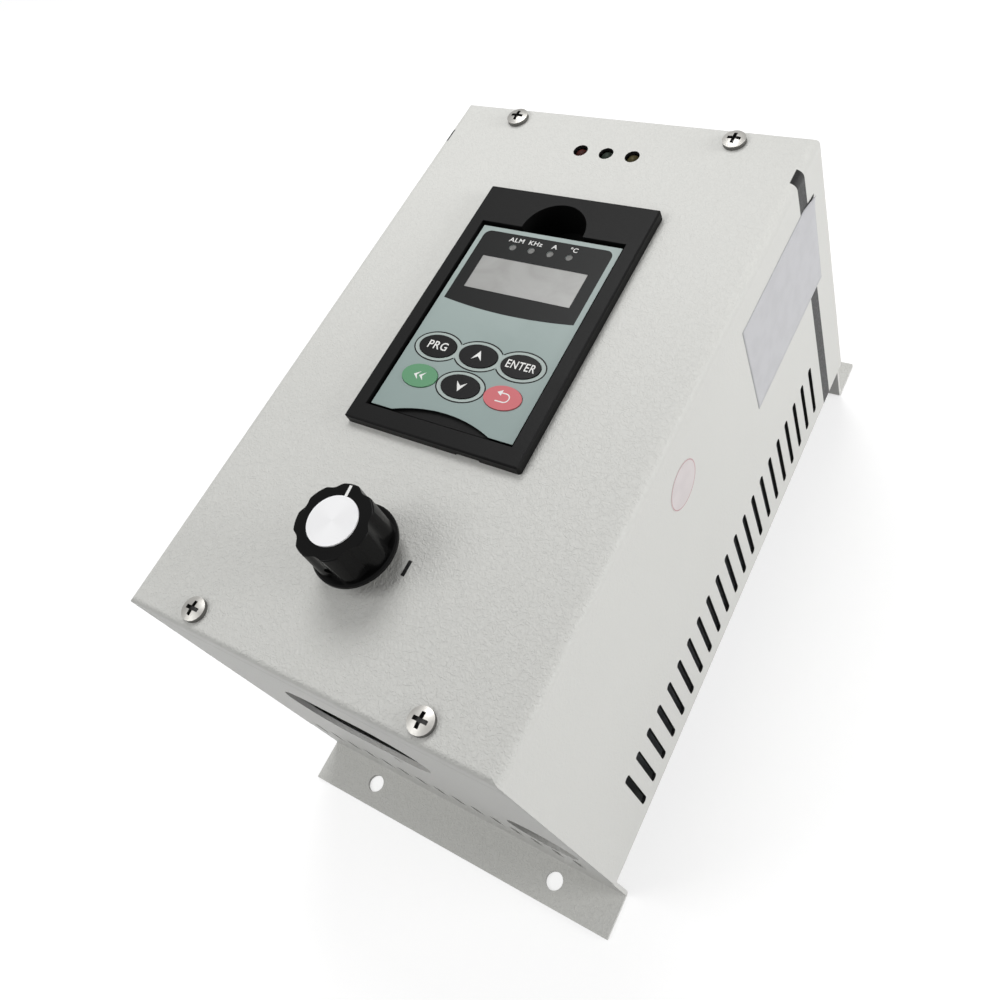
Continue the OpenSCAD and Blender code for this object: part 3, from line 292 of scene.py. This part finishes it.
def crossScrew(name, tone, recessShadeTone):
    f = Finish(name)
    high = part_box("cover_screws")[1]
    x, y, z = f.axes()
    dx = x.maths("ABSOLUTE") - (high.x - screwHead["radius"])
    dy = y.maths("ABSOLUTE") - (high.y - screwHead["radius"])
    inside = f.smooth(distance(dx, dy), *screwHead["cross"], 1.0, 0.0)
    floor, brim = screwHead["deep"]
    # Painted shade: the cross recess is painted dark and loses its metal, and the head's flank is painted
    # darker
    recessShade = inside * f.smooth(z, high.z - floor, high.z - brim, 1.0, 0.0)
    shadedFlank = f.smooth(f.upward(), *screwHead["shadedFlank"], screwHead["flankShadeShare"], 0.0)
    lines = f.noise(*screwHead["lines"])
    hue = plating(f, f.noise(*metal["cloud"]), tone)
    hue = f.blend(shadedFlank, hue, colour(scaled(tone, screwHead["flankShadeTone"])))
    return f.link(
        Base_Color=f.blend(recessShade, hue, colour(recessShadeTone)),
        Roughness=screwHead["rough"] + lines * metal["lineRough"],
        Metallic=screwHead["metallic"] - recessShade * screwHead["metallic"],
        Normal=f.bump(lines, metal["depth"]))


# Moulded plastic: fine texture, faint sheen changes and rubbed places
plastic = {"rubbed": (35, 4.0), "rubbedRange": (0.52, 0.75), "rubbedShare": 0.5, "rubbedLift": 4,
           "rubbedRough": 0.1, "grainRough": 0.06}
keyGrain = {"grainScale": 2400, "depth": 0.01 * mm}
dullShine = 0.14


def moulding(name, tone, rough=0.42, grainScale=1700, depth=0.03 * mm, worn=1.2, shine=0.3):
    f = Finish(name, Specular_IOR_Level=shine)
    grain = f.noise(grainScale)
    rubbed = f.smooth(f.noise(*plastic["rubbed"]), *plastic["rubbedRange"])
    lighter = colour(scaled(tone, worn, plastic["rubbedLift"]))
    return f.link(
        Base_Color=f.blend(rubbed * plastic["rubbedShare"], colour(tone), lighter),
        Roughness=rough + plastic["rubbedRough"] * rubbed + grain * plastic["grainRough"],
        Normal=f.bump(grain, depth))


# The keypad's film: a satin print that lightens towards the top edge
satin = {"shine": 0.35, "grain": (2600, 2.0), "cloud": (60, 3.0), "cloudMix": (0.4, 0.7, 0.25),
         "cloudTone": 0.93, "rough": 0.36, "grainRough": 0.12, "depth": 0.012 * mm}


def printedFilm(name, low, high):
    f = Finish(name, Specular_IOR_Level=satin["shine"])
    y = f.axes()[1]
    bottom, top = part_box("keypad_film")[0].y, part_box("keypad_film")[1].y
    grain = f.noise(*satin["grain"])
    hue = f.blend(f.smooth(y, bottom, top), colour(low), colour(high))
    darker = colour(scaled(low, satin["cloudTone"]))
    return f.link(
        Base_Color=f.mottle(f.noise(*satin["cloud"]), satin["cloudMix"], hue, darker),
        Roughness=satin["rough"] + grain * satin["grainRough"],
        Normal=f.bump(grain, satin["depth"]))


# Polished moulding with a faint haze and fine scratches
polish = {"shine": 0.07, "cloud": (45, 4.0), "hazeRange": (0.4, 0.8), "haze": 0.12, "hazeTone": 1.6,
          "hazeLift": 10, "coat": 0.03, "hazeCoat": 0.2, "scratches": (900, 2.0, 2.0), "scratchRough": 0.05,
          "depth": 0.004 * mm}


def glossy(name, tone, rough=0.16):
    f = Finish(name, Specular_IOR_Level=polish["shine"])
    haze = f.smooth(f.noise(*polish["cloud"]), *polish["hazeRange"], 0.0, polish["haze"])
    scratches = f.noise(*polish["scratches"])
    hazy = colour(scaled(tone, polish["hazeTone"], polish["hazeLift"]))
    return f.link(
        Base_Color=f.blend(haze, colour(tone), hazy),
        Roughness=rough + haze + scratches * polish["scratchRough"],
        Coat_Weight=polish["coat"] - haze * polish["hazeCoat"],
        Normal=f.bump(scratches, polish["depth"]))


# Aluminium turned on a lathe: fine rings, and a painted sheen of soft sectors a little darker than the rest,
# in place of the turned metal's highlights
spun = {"shine": 0.7, "sheenSectors": 2, "phase": 0.7, "sheenSectorMix": (-1.0, 1.0, 0.35), "sheenSectorTone": 0.93,
        "ringsPerMetre": 7000, "rings": (1.0, 3.0, 0.0), "rough": 0.3, "ringRough": 0.16, "depth": 0.012 * mm}


def spunDisc(name, centre, tone):
    f = Finish(name, Specular_IOR_Level=spun["shine"])
    x, y, _ = f.axes()
    dx, dy = x - centre[0], y - centre[1]
    turn = dy.maths("ARCTAN2", dx)
    # Painted sheen: the disc is darker in soft sectors round its middle
    sheenSector = (turn * spun["sheenSectors"] + spun["phase"]).maths("SINE")
    along = f.node("CombineXYZ", None, {0: distance(dx, dy) * spun["ringsPerMetre"]})
    rings = f.noise(*spun["rings"], along)
    darker = colour(scaled(tone, spun["sheenSectorTone"]))
    return f.link(
        Base_Color=f.mottle(sheenSector, spun["sheenSectorMix"], colour(tone), darker),
        Roughness=spun["rough"] + rings * spun["ringRough"],
        Normal=f.bump(rings, spun["depth"]))


# Tinted diffusing lens of an unlit light, with painted shade that makes its flank darker than its top
tinted = {"shine": 0.1, "cloud": (900, 3.0), "cloudMix": (0.3, 0.7, 0.5),
          "shadedFlank": (0.1, 0.6), "flankShadeShare": 0.8, "topShadeShare": 0.3, "rough": 0.4, "cloudRough": 0.1}


def lens(name, tone, rim):
    f = Finish(name, Specular_IOR_Level=tinted["shine"])
    cloud = f.noise(*tinted["cloud"])
    # Painted shade on the lens's flank
    flankShade = f.smooth(f.upward(), *tinted["shadedFlank"], tinted["flankShadeShare"], tinted["topShadeShare"])
    body = f.mottle(cloud, tinted["cloudMix"], colour(tone), colour(rim))
    return f.link(Base_Color=f.blend(flankShade, body, colour(rim)),
                  Roughness=tinted["rough"] + cloud * tinted["cloudRough"])


# Clear window over dark digits: a cloudy light grey with a soft sheen
pane = {"shine": 0.4, "coat": 0.3, "coatRough": 0.2, "cloud": (70, 3.0, 1.2), "cloudMix": (0.3, 0.72, 1.0),
        "fine": (700, 2.0), "rough": 0.26, "fineRough": 0.08, "depth": 0.003 * mm}


def windowPane(name, tone, shade):
    f = Finish(name, Specular_IOR_Level=pane["shine"], Coat_Weight=pane["coat"],
               Coat_Roughness=pane["coatRough"])
    fine = f.noise(*pane["fine"])
    return f.link(
        Base_Color=f.mottle(f.noise(*pane["cloud"]), pane["cloudMix"], colour(tone), colour(shade)),
        Roughness=pane["rough"] + fine * pane["fineRough"],
        Normal=f.bump(fine, pane["depth"]))


# Printing ink or a sticker's skin: nearly even, with a dry grain
dryInk = {"grain": (1900, 3.0), "uneven": (150, 3.0), "unevenMix": (0.35, 0.7, 0.3), "unevenTone": 0.92,
          "grainRough": 0.08, "smoother": 0.04}


def paint(name, tone, rough=0.5, depth=0.006 * mm, shine=0.25):
    f = Finish(name, Specular_IOR_Level=shine)
    grain = f.noise(*dryInk["grain"])
    darker = colour(scaled(tone, dryInk["unevenTone"]))
    return f.link(
        Base_Color=f.mottle(f.noise(*dryInk["uneven"]), dryInk["unevenMix"], colour(tone), darker),
        Roughness=rough - dryInk["smoother"] + grain * dryInk["grainRough"],
        Normal=f.bump(grain, depth))


# Solder mask with copper areas that show through it
copperAreas = {"shine": 0.55, "cells": 160, "border": (0.04, 0.08), "borderTone": 0.7,
               "rough": 0.26, "areaRough": 0.08, "depth": 0.03 * mm}


def circuitBoard(name, tone):
    f = Finish(name, Specular_IOR_Level=copperAreas["shine"])
    cells = f.node("TexVoronoi", {"feature": "DISTANCE_TO_EDGE"},
                   {"Vector": f.place, "Scale": copperAreas["cells"]})
    area = f.smooth(cells, *copperAreas["border"])
    return f.link(
        Base_Color=f.blend(area, colour(scaled(tone, copperAreas["borderTone"])), colour(tone)),
        Roughness=copperAreas["rough"] + area * copperAreas["areaRough"],
        Normal=f.bump(area, copperAreas["depth"]))


knobLow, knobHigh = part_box("knob_cap")
knobAt = ((knobLow.x + knobHigh.x) / 2, (knobLow.y + knobHigh.y) / 2)
lightPaint, lightShade = (220, 220, 216), (213, 213, 209)

finishes = {
    "paint": wrinklePaint("lightPaint", lightPaint, lightShade),
    "coverPaintShaded": wrinklePaint("coverPaintShaded", lightPaint, lightShade, coverShadeAndWrinkles=True),
    "zincSheet": sheetMetal("zincSheet", (178, 180, 182), 0.36),
    "coverScrew": crossScrew("coverScrew", (198, 196, 191), (34, 33, 32)),
    "zincScrew": sheetMetal("zincScrew", (226, 221, 214), 0.3, evenGrain, metallic=0.7),
    "steel": sheetMetal("turnedSteel", (170, 170, 172), 0.3, (500, 500, 4000)),
    "darkSteel": sheetMetal("darkSteel", (70, 70, 74), 0.4, evenGrain),
    "sink": sheetMetal("heatsinkAluminium", (188, 189, 192), 0.38, (900, 30, 900)),
    "brass": sheetMetal("brass", (196, 162, 92), 0.3, evenGrain),
    "copper": sheetMetal("copper", (196, 124, 88), 0.3, evenGrain),
    "moulding": moulding("blackMoulding", (13, 13, 13), shine=dullShine),
    "case": moulding("caseMoulding", (12, 12, 12), 0.4, shine=dullShine),
    "keyBlack": moulding("keyBlack", (17, 17, 18), 0.34, worn=1.1, shine=dullShine, **keyGrain),
    "keyGreen": moulding("keyGreen", (95, 149, 111), 0.4, worn=1.05, **keyGrain),
    "keyRed": moulding("keyRed", (202, 106, 111), 0.4, worn=1.05, **keyGrain),
    "component": moulding("componentBlack", (34, 34, 36), 0.5),
    "capacitor": moulding("capacitorBox", (186, 168, 112), 0.45),
    "ferrite": moulding("ferrite", (66, 66, 70), 0.7, grainScale=900, depth=0.08 * mm),
    "ringBlue": moulding("ringMoulding", (48, 62, 118), 0.45),
    "terminal": moulding("terminalMoulding", (204, 203, 196), 0.45),
    "ribbon": moulding("ribbonCable", (150, 150, 158), 0.5),
    "film": printedFilm("keypadFilm", (142, 158, 155), (164, 177, 174)),
    "window": windowPane("displayWindow", (163, 163, 161), (150, 150, 147)),
    "ink": paint("blackPrint", (14, 15, 15), 0.38, shine=0.16),
    "ring": paint("lightPrint", (172, 184, 180), 0.42),
    "white": paint("whitePrint", (235, 235, 233), 0.45),
    "tick": paint("tickPaint", (22, 22, 22)),
    "gap": paint("labelShadow", (70, 70, 69), 0.8),
    "label": paint("silverLabel", (202, 202, 205)),
    "seal": paint("paperSeal", (222, 215, 215), 0.62, depth=0.02 * mm),
    "sealRing": paint("sealPrint", (196, 158, 160), 0.6),
    "knob": glossy("knobBlack", (17, 17, 17)),
    "sleeve": glossy("capacitorSleeve", (42, 50, 74), 0.3),
    "cap": spunDisc("spunAluminium", knobAt, (246, 246, 247)),
    "lampRed": lens("lensRed", (84, 40, 34), (26, 14, 13)),
    "lampGreen": lens("lensGreen", (58, 68, 60), (20, 26, 22)),
    "lampYellow": lens("lensYellow", (92, 84, 52), (30, 28, 18)),
    "indicator": lens("indicatorLens", (150, 150, 148), (96, 96, 95)),
    "board": circuitBoard("circuitBoard", (30, 92, 52)),
}

nodeFinish = {
    "cover": "coverPaintShaded", "end_frame_bottom": "paint", "end_frame_top": "paint",
    "back_plate": "zincSheet", "cover_screws": "coverScrew", "cover_nuts": "zincScrew",
    "keypad_tray": "moulding", "keypad_socket": "component", "ribbon_cable": "ribbon",
    "ribbon_header": "component", "keypad_case": "case", "keypad_back": "case",
    "keypad_film": "film", "display_window": "window", "display_module": "component",
    "indicator_lamps": "indicator", "keypad_board": "board", "key_switches": "component",
    "key_program": "keyBlack", "key_up": "keyBlack", "key_enter": "keyBlack", "key_down": "keyBlack",
    "key_left": "keyGreen", "key_return": "keyRed",
    "knob_body": "knob", "knob_cap": "cap", "knob_pointer": "white", "knob_screw": "darkSteel",
    "pot_shaft": "steel", "pot_body": "steel", "pot_washer": "zincScrew", "pot_nut": "zincScrew",
    "lamp_red": "lampRed", "lamp_green": "lampGreen", "lamp_yellow": "lampYellow",
    "lamp_board": "board", "lamp_spacers": "steel", "heatsink": "sink", "heatsink_screws": "zincScrew",
    "power_transistors": "component", "bridge_rectifier": "component", "device_screws": "zincScrew",
    "power_board": "board", "board_pillars": "brass", "film_capacitors": "capacitor",
    "smoothing_capacitors": "sleeve", "choke_core": "ferrite", "choke_winding": "copper",
    "current_transformer": "ringBlue", "output_bars": "copper", "output_bolts": "zincScrew",
    "terminal_block": "terminal", "terminal_screws": "zincScrew", "earth_stud": "brass",
    "fan_frame": "component", "fan_rotor": "component", "fan_screws": "zincScrew",
}

for name, node in nodes.items():
    node.data.materials.clear()
    node.data.materials.append(finishes[nodeFinish[name]])
print("finishes set on", len(nodes), "nodes")


# Pieces in mesh code
def addPiece(name, mesh, finish, body):
    piece = bpy.data.objects.new(name, mesh)
    mesh.materials.append(finishes[finish])
    bpy.context.scene.collection.objects.link(piece)
    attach(piece, body)


def thicken(shape, shift):
    # Turns an open sheet into a closed plate
    moved = bmesh.ops.extrude_face_region(shape, geom=shape.faces[:])["geom"]
    bmesh.ops.translate(shape, vec=shift, verts=[v for v in moved if isinstance(v, bmesh.types.BMVert)])
    bmesh.ops.recalc_face_normals(shape, faces=shape.faces[:])


def toMesh(name, shape):
    mesh = bpy.data.meshes.new(name)
    shape.to_mesh(mesh)
    shape.free()
    return mesh


flatWithin = 0.01  # faces that meet at a smaller angle than this, in radians, become one


def flatPiece(name, loops, z, thick, finish, body, place=Matrix.Identity(4)):
    # A flat print or plate from closed outlines in X and Y; those inside another are holes
    shape = bmesh.new()
    for loop in loops:
        corners = [shape.verts.new((x, y, z)) for x, y in loop]
        for a, b in zip(corners, corners[1:] + corners[:1]):
            shape.edges.new((a, b))
    bmesh.ops.triangle_fill(shape, use_beauty=True, edges=shape.edges[:], normal=(0, 0, 1))
    bmesh.ops.dissolve_limit(shape, angle_limit=flatWithin, verts=shape.verts[:], edges=shape.edges[:])
    thicken(shape, (0, 0, thick))
    shape.transform(place)
    addPiece(name, toMesh(name, shape), finish, body)


def arc(centre, a, b, start, end, steps):
    return [(centre[0] + a * math.cos(math.radians(start + (end - start) * k / steps)),
             centre[1] + b * math.sin(math.radians(start + (end - start) * k / steps)))
            for k in range(steps + 1)]


def ring(centre, a, b, steps):
    return arc(centre, a, b, 0, 360 * (steps - 1) / steps, steps - 1)


def middle(node):
    low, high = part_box(node)
    return ((low.x + high.x) / 2, (low.y + high.y) / 2)


# The black field round the display, with its window and light holes; its lower edge sags
field = {"halfWidth": 24.4 * mm, "top": 49.4 * mm, "side": 19.5 * mm, "sag": 1.8 * mm,
         "corner": 2.6 * mm, "cornerSteps": 8, "sagSteps": 28, "thick": 0.03 * mm,
         "lampRadius": 1.25 * mm, "lampSteps": 24, "lampY": 44 * mm,
         "lampX": [-10.98 * mm, -3.87 * mm, 3.27 * mm, 10.4 * mm]}


def displayField(spec):
    w, top, low, r = spec["halfWidth"], spec["top"], spec["side"], spec["corner"]
    sagRadius = (w * w + spec["sag"] ** 2) / (2 * spec["sag"])
    spread = math.degrees(math.asin(w / sagRadius))
    outline = (arc((w - r, top - r), r, r, 0, 90, spec["cornerSteps"])
               + arc((r - w, top - r), r, r, 90, 180, spec["cornerSteps"])
               + arc((0, low - spec["sag"] + sagRadius), sagRadius, sagRadius,
                     270 - spread, 270 + spread, spec["sagSteps"]))
    (x0, y0, _), (x1, y1, _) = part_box("display_window")
    window = [(x0, y0), (x1, y0), (x1, y1), (x0, y1)]
    holes = [ring((x, spec["lampY"]), spec["lampRadius"], spec["lampRadius"], spec["lampSteps"])
             for x in spec["lampX"]]
    flatPiece("display_field", [outline, window] + holes, filmZ, spec["thick"], "ink", "keypad")


displayField(field)

# Light rings round the black keys, and the thin dark line round them. A key's flange is wider
# than its cap, and the ring starts a gap outside the cap.
rings = {"halfWidth": 8.45 * mm, "halfHeight": 5.25 * mm, "line": 0.46 * mm, "gap": 0.16 * mm,
         "flange": 0.4 * mm, "thick": 0.02 * mm, "lineThick": 0.035 * mm, "steps": 96, "holeSteps": 72,
         "joinWithin": 0.001 * mm}


def clampedRing(centre, a, b, low, high, steps):
    # An ellipse cut off at both sides, where it meets its neighbours
    return [(min(max(x, low), high), y) for x, y in ring(centre, a, b, steps)]


def ringLine(name, centre, spec, low, high):
    # The dark line as quads between two ellipses, left open where a neighbour's line takes over
    steps = spec["steps"]
    inner = ring(centre, spec["halfWidth"], spec["halfHeight"], steps)
    outer = ring(centre, spec["halfWidth"] + spec["line"], spec["halfHeight"] + spec["line"], steps)
    shape = bmesh.new()
    for i in range(steps):
        after = (i + 1) % steps
        quad = [inner[i], inner[after], outer[after], outer[i]]
        if all(low < x < high for x, _ in quad):
            shape.faces.new([shape.verts.new((x, y, filmZ)) for x, y in quad])
    bmesh.ops.remove_doubles(shape, verts=shape.verts[:], dist=spec["joinWithin"])
    thicken(shape, (0, 0, spec["lineThick"]))
    addPiece(name, toMesh(name, shape), "ink", "keypad")


def keyRings(spec):
    row = ["key_program", "key_up", "key_enter"]
    pitch = middle("key_enter")[0] - middle("key_up")[0]
    for name in row + ["key_down"]:
        x, y = middle(name)
        low = x - pitch / 2 if name in row[1:] else -math.inf
        high = x + pitch / 2 if name in row[:2] else math.inf
        half = (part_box(name)[1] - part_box(name)[0]) / 2
        inward = spec["flange"] - spec["gap"]
        hole = ring((x, y), half.x - inward, half.y - inward, spec["holeSteps"])
        body = clampedRing((x, y), spec["halfWidth"], spec["halfHeight"], low, high, spec["steps"])
        flatPiece(name + "_ring", [body, hole], filmZ, spec["thick"], "ring", "keypad")
        ringLine(name + "_line", (x, y), spec, low, high)


keyRings(rings)
print("keypad print made")

# Marks on the keys, as outlines in millimetres from the key's middle
marks = {
    "thick": 0.03 * mm,
    "chevron": [(-1.9, -1.6), (0, 1.95), (1.9, -1.6), (0, -0.15)],
    "double": [(-0.45, 0), (1.7, 1.55), (0.75, 0), (1.7, -1.55)],
    "doubleAt": [-1.75, 0.25],
    "hook": {"centre": (0.75, 0.05), "outer": 1.7, "inner": 1.32, "steps": 16, "barEnd": -1.95,
             "head": [(-0.9, 1.75), (-0.9, 2.6), (-2.55, 1.56), (-0.9, 0.5), (-0.9, 1.37)]},
}


def keyMark(key, name, loop, turn=0, along=0):
    x, y = middle(key)
    place = Matrix.Translation((x, y, 0)) @ Matrix.Rotation(math.radians(turn), 4, "Z")
    points = [((px + along) * mm, py * mm) for px, py in loop]
    flatPiece(name, [points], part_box(key)[1].z, marks["thick"], "white", key, place)


def returnArrow(spec):
    # A hooked arrow: a bar below, a half turn at the right and a head at the upper left
    centre, outer, inner = spec["centre"], spec["outer"], spec["inner"]
    turn = arc(centre, outer, outer, -90, 90, spec["steps"])
    back = arc(centre, inner, inner, 90, -90, spec["steps"])
    return ([(spec["barEnd"], centre[1] - outer)] + turn + spec["head"] + back
            + [(spec["barEnd"], centre[1] - inner)])


keyMark("key_up", "mark_up", marks["chevron"])
keyMark("key_down", "mark_down", marks["chevron"], turn=180)
keyMark("key_left", "mark_left_a", marks["double"], along=marks["doubleAt"][0])
keyMark("key_left", "mark_left_b", marks["double"], along=marks["doubleAt"][1])
keyMark("key_return", "mark_return", returnArrow(marks["hook"]))

# Words and units in the plain built-in typeface; sizes, places and strokes are in millimetres
words = [
    {"name": "word_program", "text": "PRG", "size": 3.1, "wide": 0.95, "bold": 0.045, "on": "key_program"},
    {"name": "word_enter", "text": "ENTER", "size": 3.0, "wide": 0.82, "bold": 0.045, "on": "key_enter"},
    {"name": "unit_alarm", "text": "ALM", "size": 1.85, "wide": 1.15, "bold": 0.03, "at": (-10.9, 47.0)},
    {"name": "unit_hertz", "text": "KHz", "size": 1.85, "wide": 1.12, "bold": 0.03, "at": (-3.7, 47.0)},
    {"name": "unit_amp", "text": "A", "size": 1.85, "wide": 1.15, "bold": 0.03, "at": (3.6, 47.0)},
    {"name": "unit_degree", "text": "°C", "size": 1.85, "wide": 1.05, "bold": 0.03, "at": (10.7, 47.1)},
]
lettering = {"perCapital": 1.35, "spacing": 1.08, "halfThick": 0.015 * mm, "curveSteps": 4}


def word(spec):
    data = bpy.data.curves.new(spec["name"], "FONT")
    data.body = spec["text"]
    data.size = spec["size"] * lettering["perCapital"] * mm
    data.align_x = "CENTER"
    data.align_y = "CENTER"
    data.offset = spec["bold"] * mm
    data.space_character = lettering["spacing"]
    data.extrude = lettering["halfThick"]
    data.resolution_u = lettering["curveSteps"]
    made = bpy.data.objects.new(spec["name"] + "_text", data)
    bpy.context.scene.collection.objects.link(made)
    bpy.context.view_layer.update()
    mesh = bpy.data.meshes.new_from_object(made)
    bpy.data.objects.remove(made)
    on = spec.get("on")
    x, y = middle(on) if on else (spec["at"][0] * mm, spec["at"][1] * mm)
    z = (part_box(on)[1].z if on else filmZ + field["thick"]) + data.extrude
    mesh.transform(Matrix.Translation((x, y, z)) @ Matrix.Diagonal((spec["wide"], 1, 1, 1)))
    mesh.name = spec["name"]
    mesh.materials.clear()
    addPiece(spec["name"], mesh, "white", on or "keypad")


for spec in words:
    word(spec)
print("key marks made")

# The painted tick beside the knob
tick = {"x": 14.5 * mm, "low": -70.9 * mm, "high": -66.0 * mm, "width": 1.2 * mm, "thick": 0.03 * mm}


def faceTick(spec):
    left, right = spec["x"] - spec["width"] / 2, spec["x"] + spec["width"] / 2
    outline = [(left, spec["low"]), (right, spec["low"]), (right, spec["high"]), (left, spec["high"])]
    flatPiece("face_tick", [outline], faceZ, spec["thick"], "tick", "housing")


faceTick(tick)

# The bare silver label on the side: its edges run a little askew, its far end dips past a fold
# and one corner is lifted, with a painted shadow, a dark strip, in the gap above. Each corner is
# given along Y and down from the face.
label = {
    "nearTop": (39.7 * mm, 12.9 * mm), "nearBottom": (40.0 * mm, 54.1 * mm),
    "farTop": (100.2 * mm, 14.2 * mm), "farBottom": (99.3 * mm, 55.1 * mm),
    "fold": 91.0 * mm, "dip": 2.0 * mm, "lift": 0.9 * mm, "liftReach": 10 * mm,
    "thick": 0.12 * mm, "gapShadowThick": 0.03 * mm, "columns": 48, "rows": 32, "smoothFrom": 0.5,
    "gap": [(91.0 * mm, 14.3 * mm), (94.0 * mm, 14.4 * mm), (97.0 * mm, 15.0 * mm),
            (100.4 * mm, 15.5 * mm), (100.2 * mm, 16.5 * mm), (97.0 * mm, 16.2 * mm),
            (94.0 * mm, 15.5 * mm)],
}


def labelPoint(spec, across, downShare):
    # A point of the label, from the share of the way to its far end and to its lower edge
    farTop = Vector(spec["farTop"])
    upper = Vector(spec["nearTop"]).lerp(farTop, across)
    lower = Vector(spec["nearBottom"]).lerp(Vector(spec["farBottom"]), across)
    upper.y += spec["dip"] * max(0.0, (upper.x - spec["fold"]) / (farTop.x - spec["fold"]))
    y, down = upper.lerp(lower, downShare)
    away = (Vector((y, down)) - farTop).length
    curl = max(0.0, 1 - away / spec["liftReach"]) ** 2 * spec["lift"]
    return curl, y, down


def sideLabel(spec):
    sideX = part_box("cover")[1].x
    columns, rows = spec["columns"], spec["rows"]
    shape = bmesh.new()
    grid = []
    for j in range(rows + 1):
        points = [labelPoint(spec, i / columns, j / rows) for i in range(columns + 1)]
        grid.append([shape.verts.new((sideX + curl, y, faceZ - down)) for curl, y, down in points])
    for upper, lower in zip(grid, grid[1:]):
        for i in range(columns):
            shape.faces.new((upper[i], lower[i], lower[i + 1], upper[i + 1]))
    thicken(shape, (spec["thick"], 0, 0))
    mesh = toMesh("side_label", shape)
    for face in mesh.polygons:
        face.use_smooth = abs(face.normal.x) > spec["smoothFrom"]
    addPiece("side_label", mesh, "label", "housing")
    place = Matrix.Translation((sideX, 0, faceZ)) @ Matrix.Rotation(math.radians(90), 4, "Y")
    # A dark strip on the side paints the shadow in the gap under the lifted corner
    flatPiece("label_gap_shadow", [[(down, y) for y, down in spec["gap"]]], 0, spec["gapShadowThick"],
              "gap", "housing", place)


sideLabel(label)

# The small bare paper seal below it, with a thin printed ring near its edge
seal = {"y": -9.2 * mm, "down": 22.8 * mm, "radius": 8.1 * mm, "ringRadius": 7.9 * mm,
        "ringWidth": 0.3 * mm, "thick": 0.08 * mm, "ringThick": 0.01 * mm, "steps": 96}


def sideSeal(spec):
    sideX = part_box("cover")[1].x
    place = (Matrix.Translation((sideX, spec["y"], faceZ - spec["down"]))
             @ Matrix.Rotation(math.radians(90), 4, "Y"))
    edge, outer, inner = [ring((0, 0), r, r, spec["steps"]) for r in
                          (spec["radius"], spec["ringRadius"], spec["ringRadius"] - spec["ringWidth"])]
    flatPiece("side_seal", [edge], 0, spec["thick"], "seal", "housing", place)
    flatPiece("seal_ring", [outer, inner], spec["thick"], spec["ringThick"],
              "sealRing", "housing", place)


sideSeal(seal)
print("label and seal made")


# Studio: pale floor, white surroundings and three soft lamps. The floor's glow rises with the
# distance, so that it runs into the surroundings without an edge.
studio = {
    "floorSize": 12, "floorTone": (190, 190, 190), "floorRough": 0.9, "floorShine": 0.1,
    "floorGlow": 0.66, "farGlow": 0.86, "glowFrom": 0.5, "glowTo": 2.5,
    "sky": (1, 1, 1, 1), "ambient": 0.34, "mirrored": 0.6,
    "lamps": [
        {"name": "overhead", "place": (-0.2, 0.42, 0.88), "aim": (0, 0, 0.1), "size": 0.45, "power": 3.5},
        {"name": "rightSide", "place": (1.25, 0.35, 0.3), "aim": (0, 0, 0.1), "size": 0.7, "power": 9.3},
        {"name": "frontTop", "place": (-0.45, -0.36, 0.85), "aim": (0, -0.1, 0.06), "size": 0.5,
         "power": 2.1},
    ],
}


def seenRays(tree):
    # The camera's own rays, and those that a mirror or a glass sends on
    path = tree.nodes.new("ShaderNodeLightPath")
    glossyRay = Wire(tree, path.outputs["Is Glossy Ray"])
    through = Wire(tree, path.outputs["Is Transmission Ray"])
    return Wire(tree, path.outputs["Is Camera Ray"]), glossyRay.maths("MAXIMUM", through)


def addFloor(spec):
    bpy.ops.mesh.primitive_plane_add(size=spec["floorSize"], location=(0, 0, 0))
    floor = bpy.context.object
    floor.name = "floor"
    f = Finish("studioFloor", Base_Color=colour(spec["floorTone"]), Roughness=spec["floorRough"],
               Specular_IOR_Level=spec["floorShine"], Emission_Strength=1)
    camera, mirrored = seenRays(f.tree)
    x, y, _ = f.axes()
    glow = f.smooth(distance(x, y), spec["glowFrom"], spec["glowTo"], spec["floorGlow"], spec["farGlow"])
    f.link(Emission_Color=camera.maths("MAXIMUM", mirrored) * glow)
    floor.data.materials.append(f.material)


def addSurroundings(spec):
    world = bpy.data.worlds.new("studio")
    bpy.context.scene.world = world
    world.use_nodes = True
    tree = world.node_tree
    camera, mirrored = seenRays(tree)
    ambient = spec["ambient"]
    background = tree.nodes["Background"]
    feed(tree, background.inputs["Color"], spec["sky"])
    feed(tree, background.inputs["Strength"],
         ambient + camera * (1 - ambient) + mirrored * (spec["mirrored"] - ambient))


def addLamp(lamp):
    data = bpy.data.lights.new(lamp["name"], "AREA")
    data.shape = "DISK"
    data.size = lamp["size"]
    data.energy = lamp["power"]
    made = bpy.data.objects.new(lamp["name"], data)
    made.location = lamp["place"]
    aim = Vector(lamp["aim"]) - Vector(lamp["place"])
    made.rotation_euler = aim.to_track_quat("-Z", "Y").to_euler()
    bpy.context.scene.collection.objects.link(made)


addFloor(studio)
addSurroundings(studio)
for lamp in studio["lamps"]:
    addLamp(lamp)
bpy.context.scene.view_settings.view_transform = "Standard"
print("studio built")
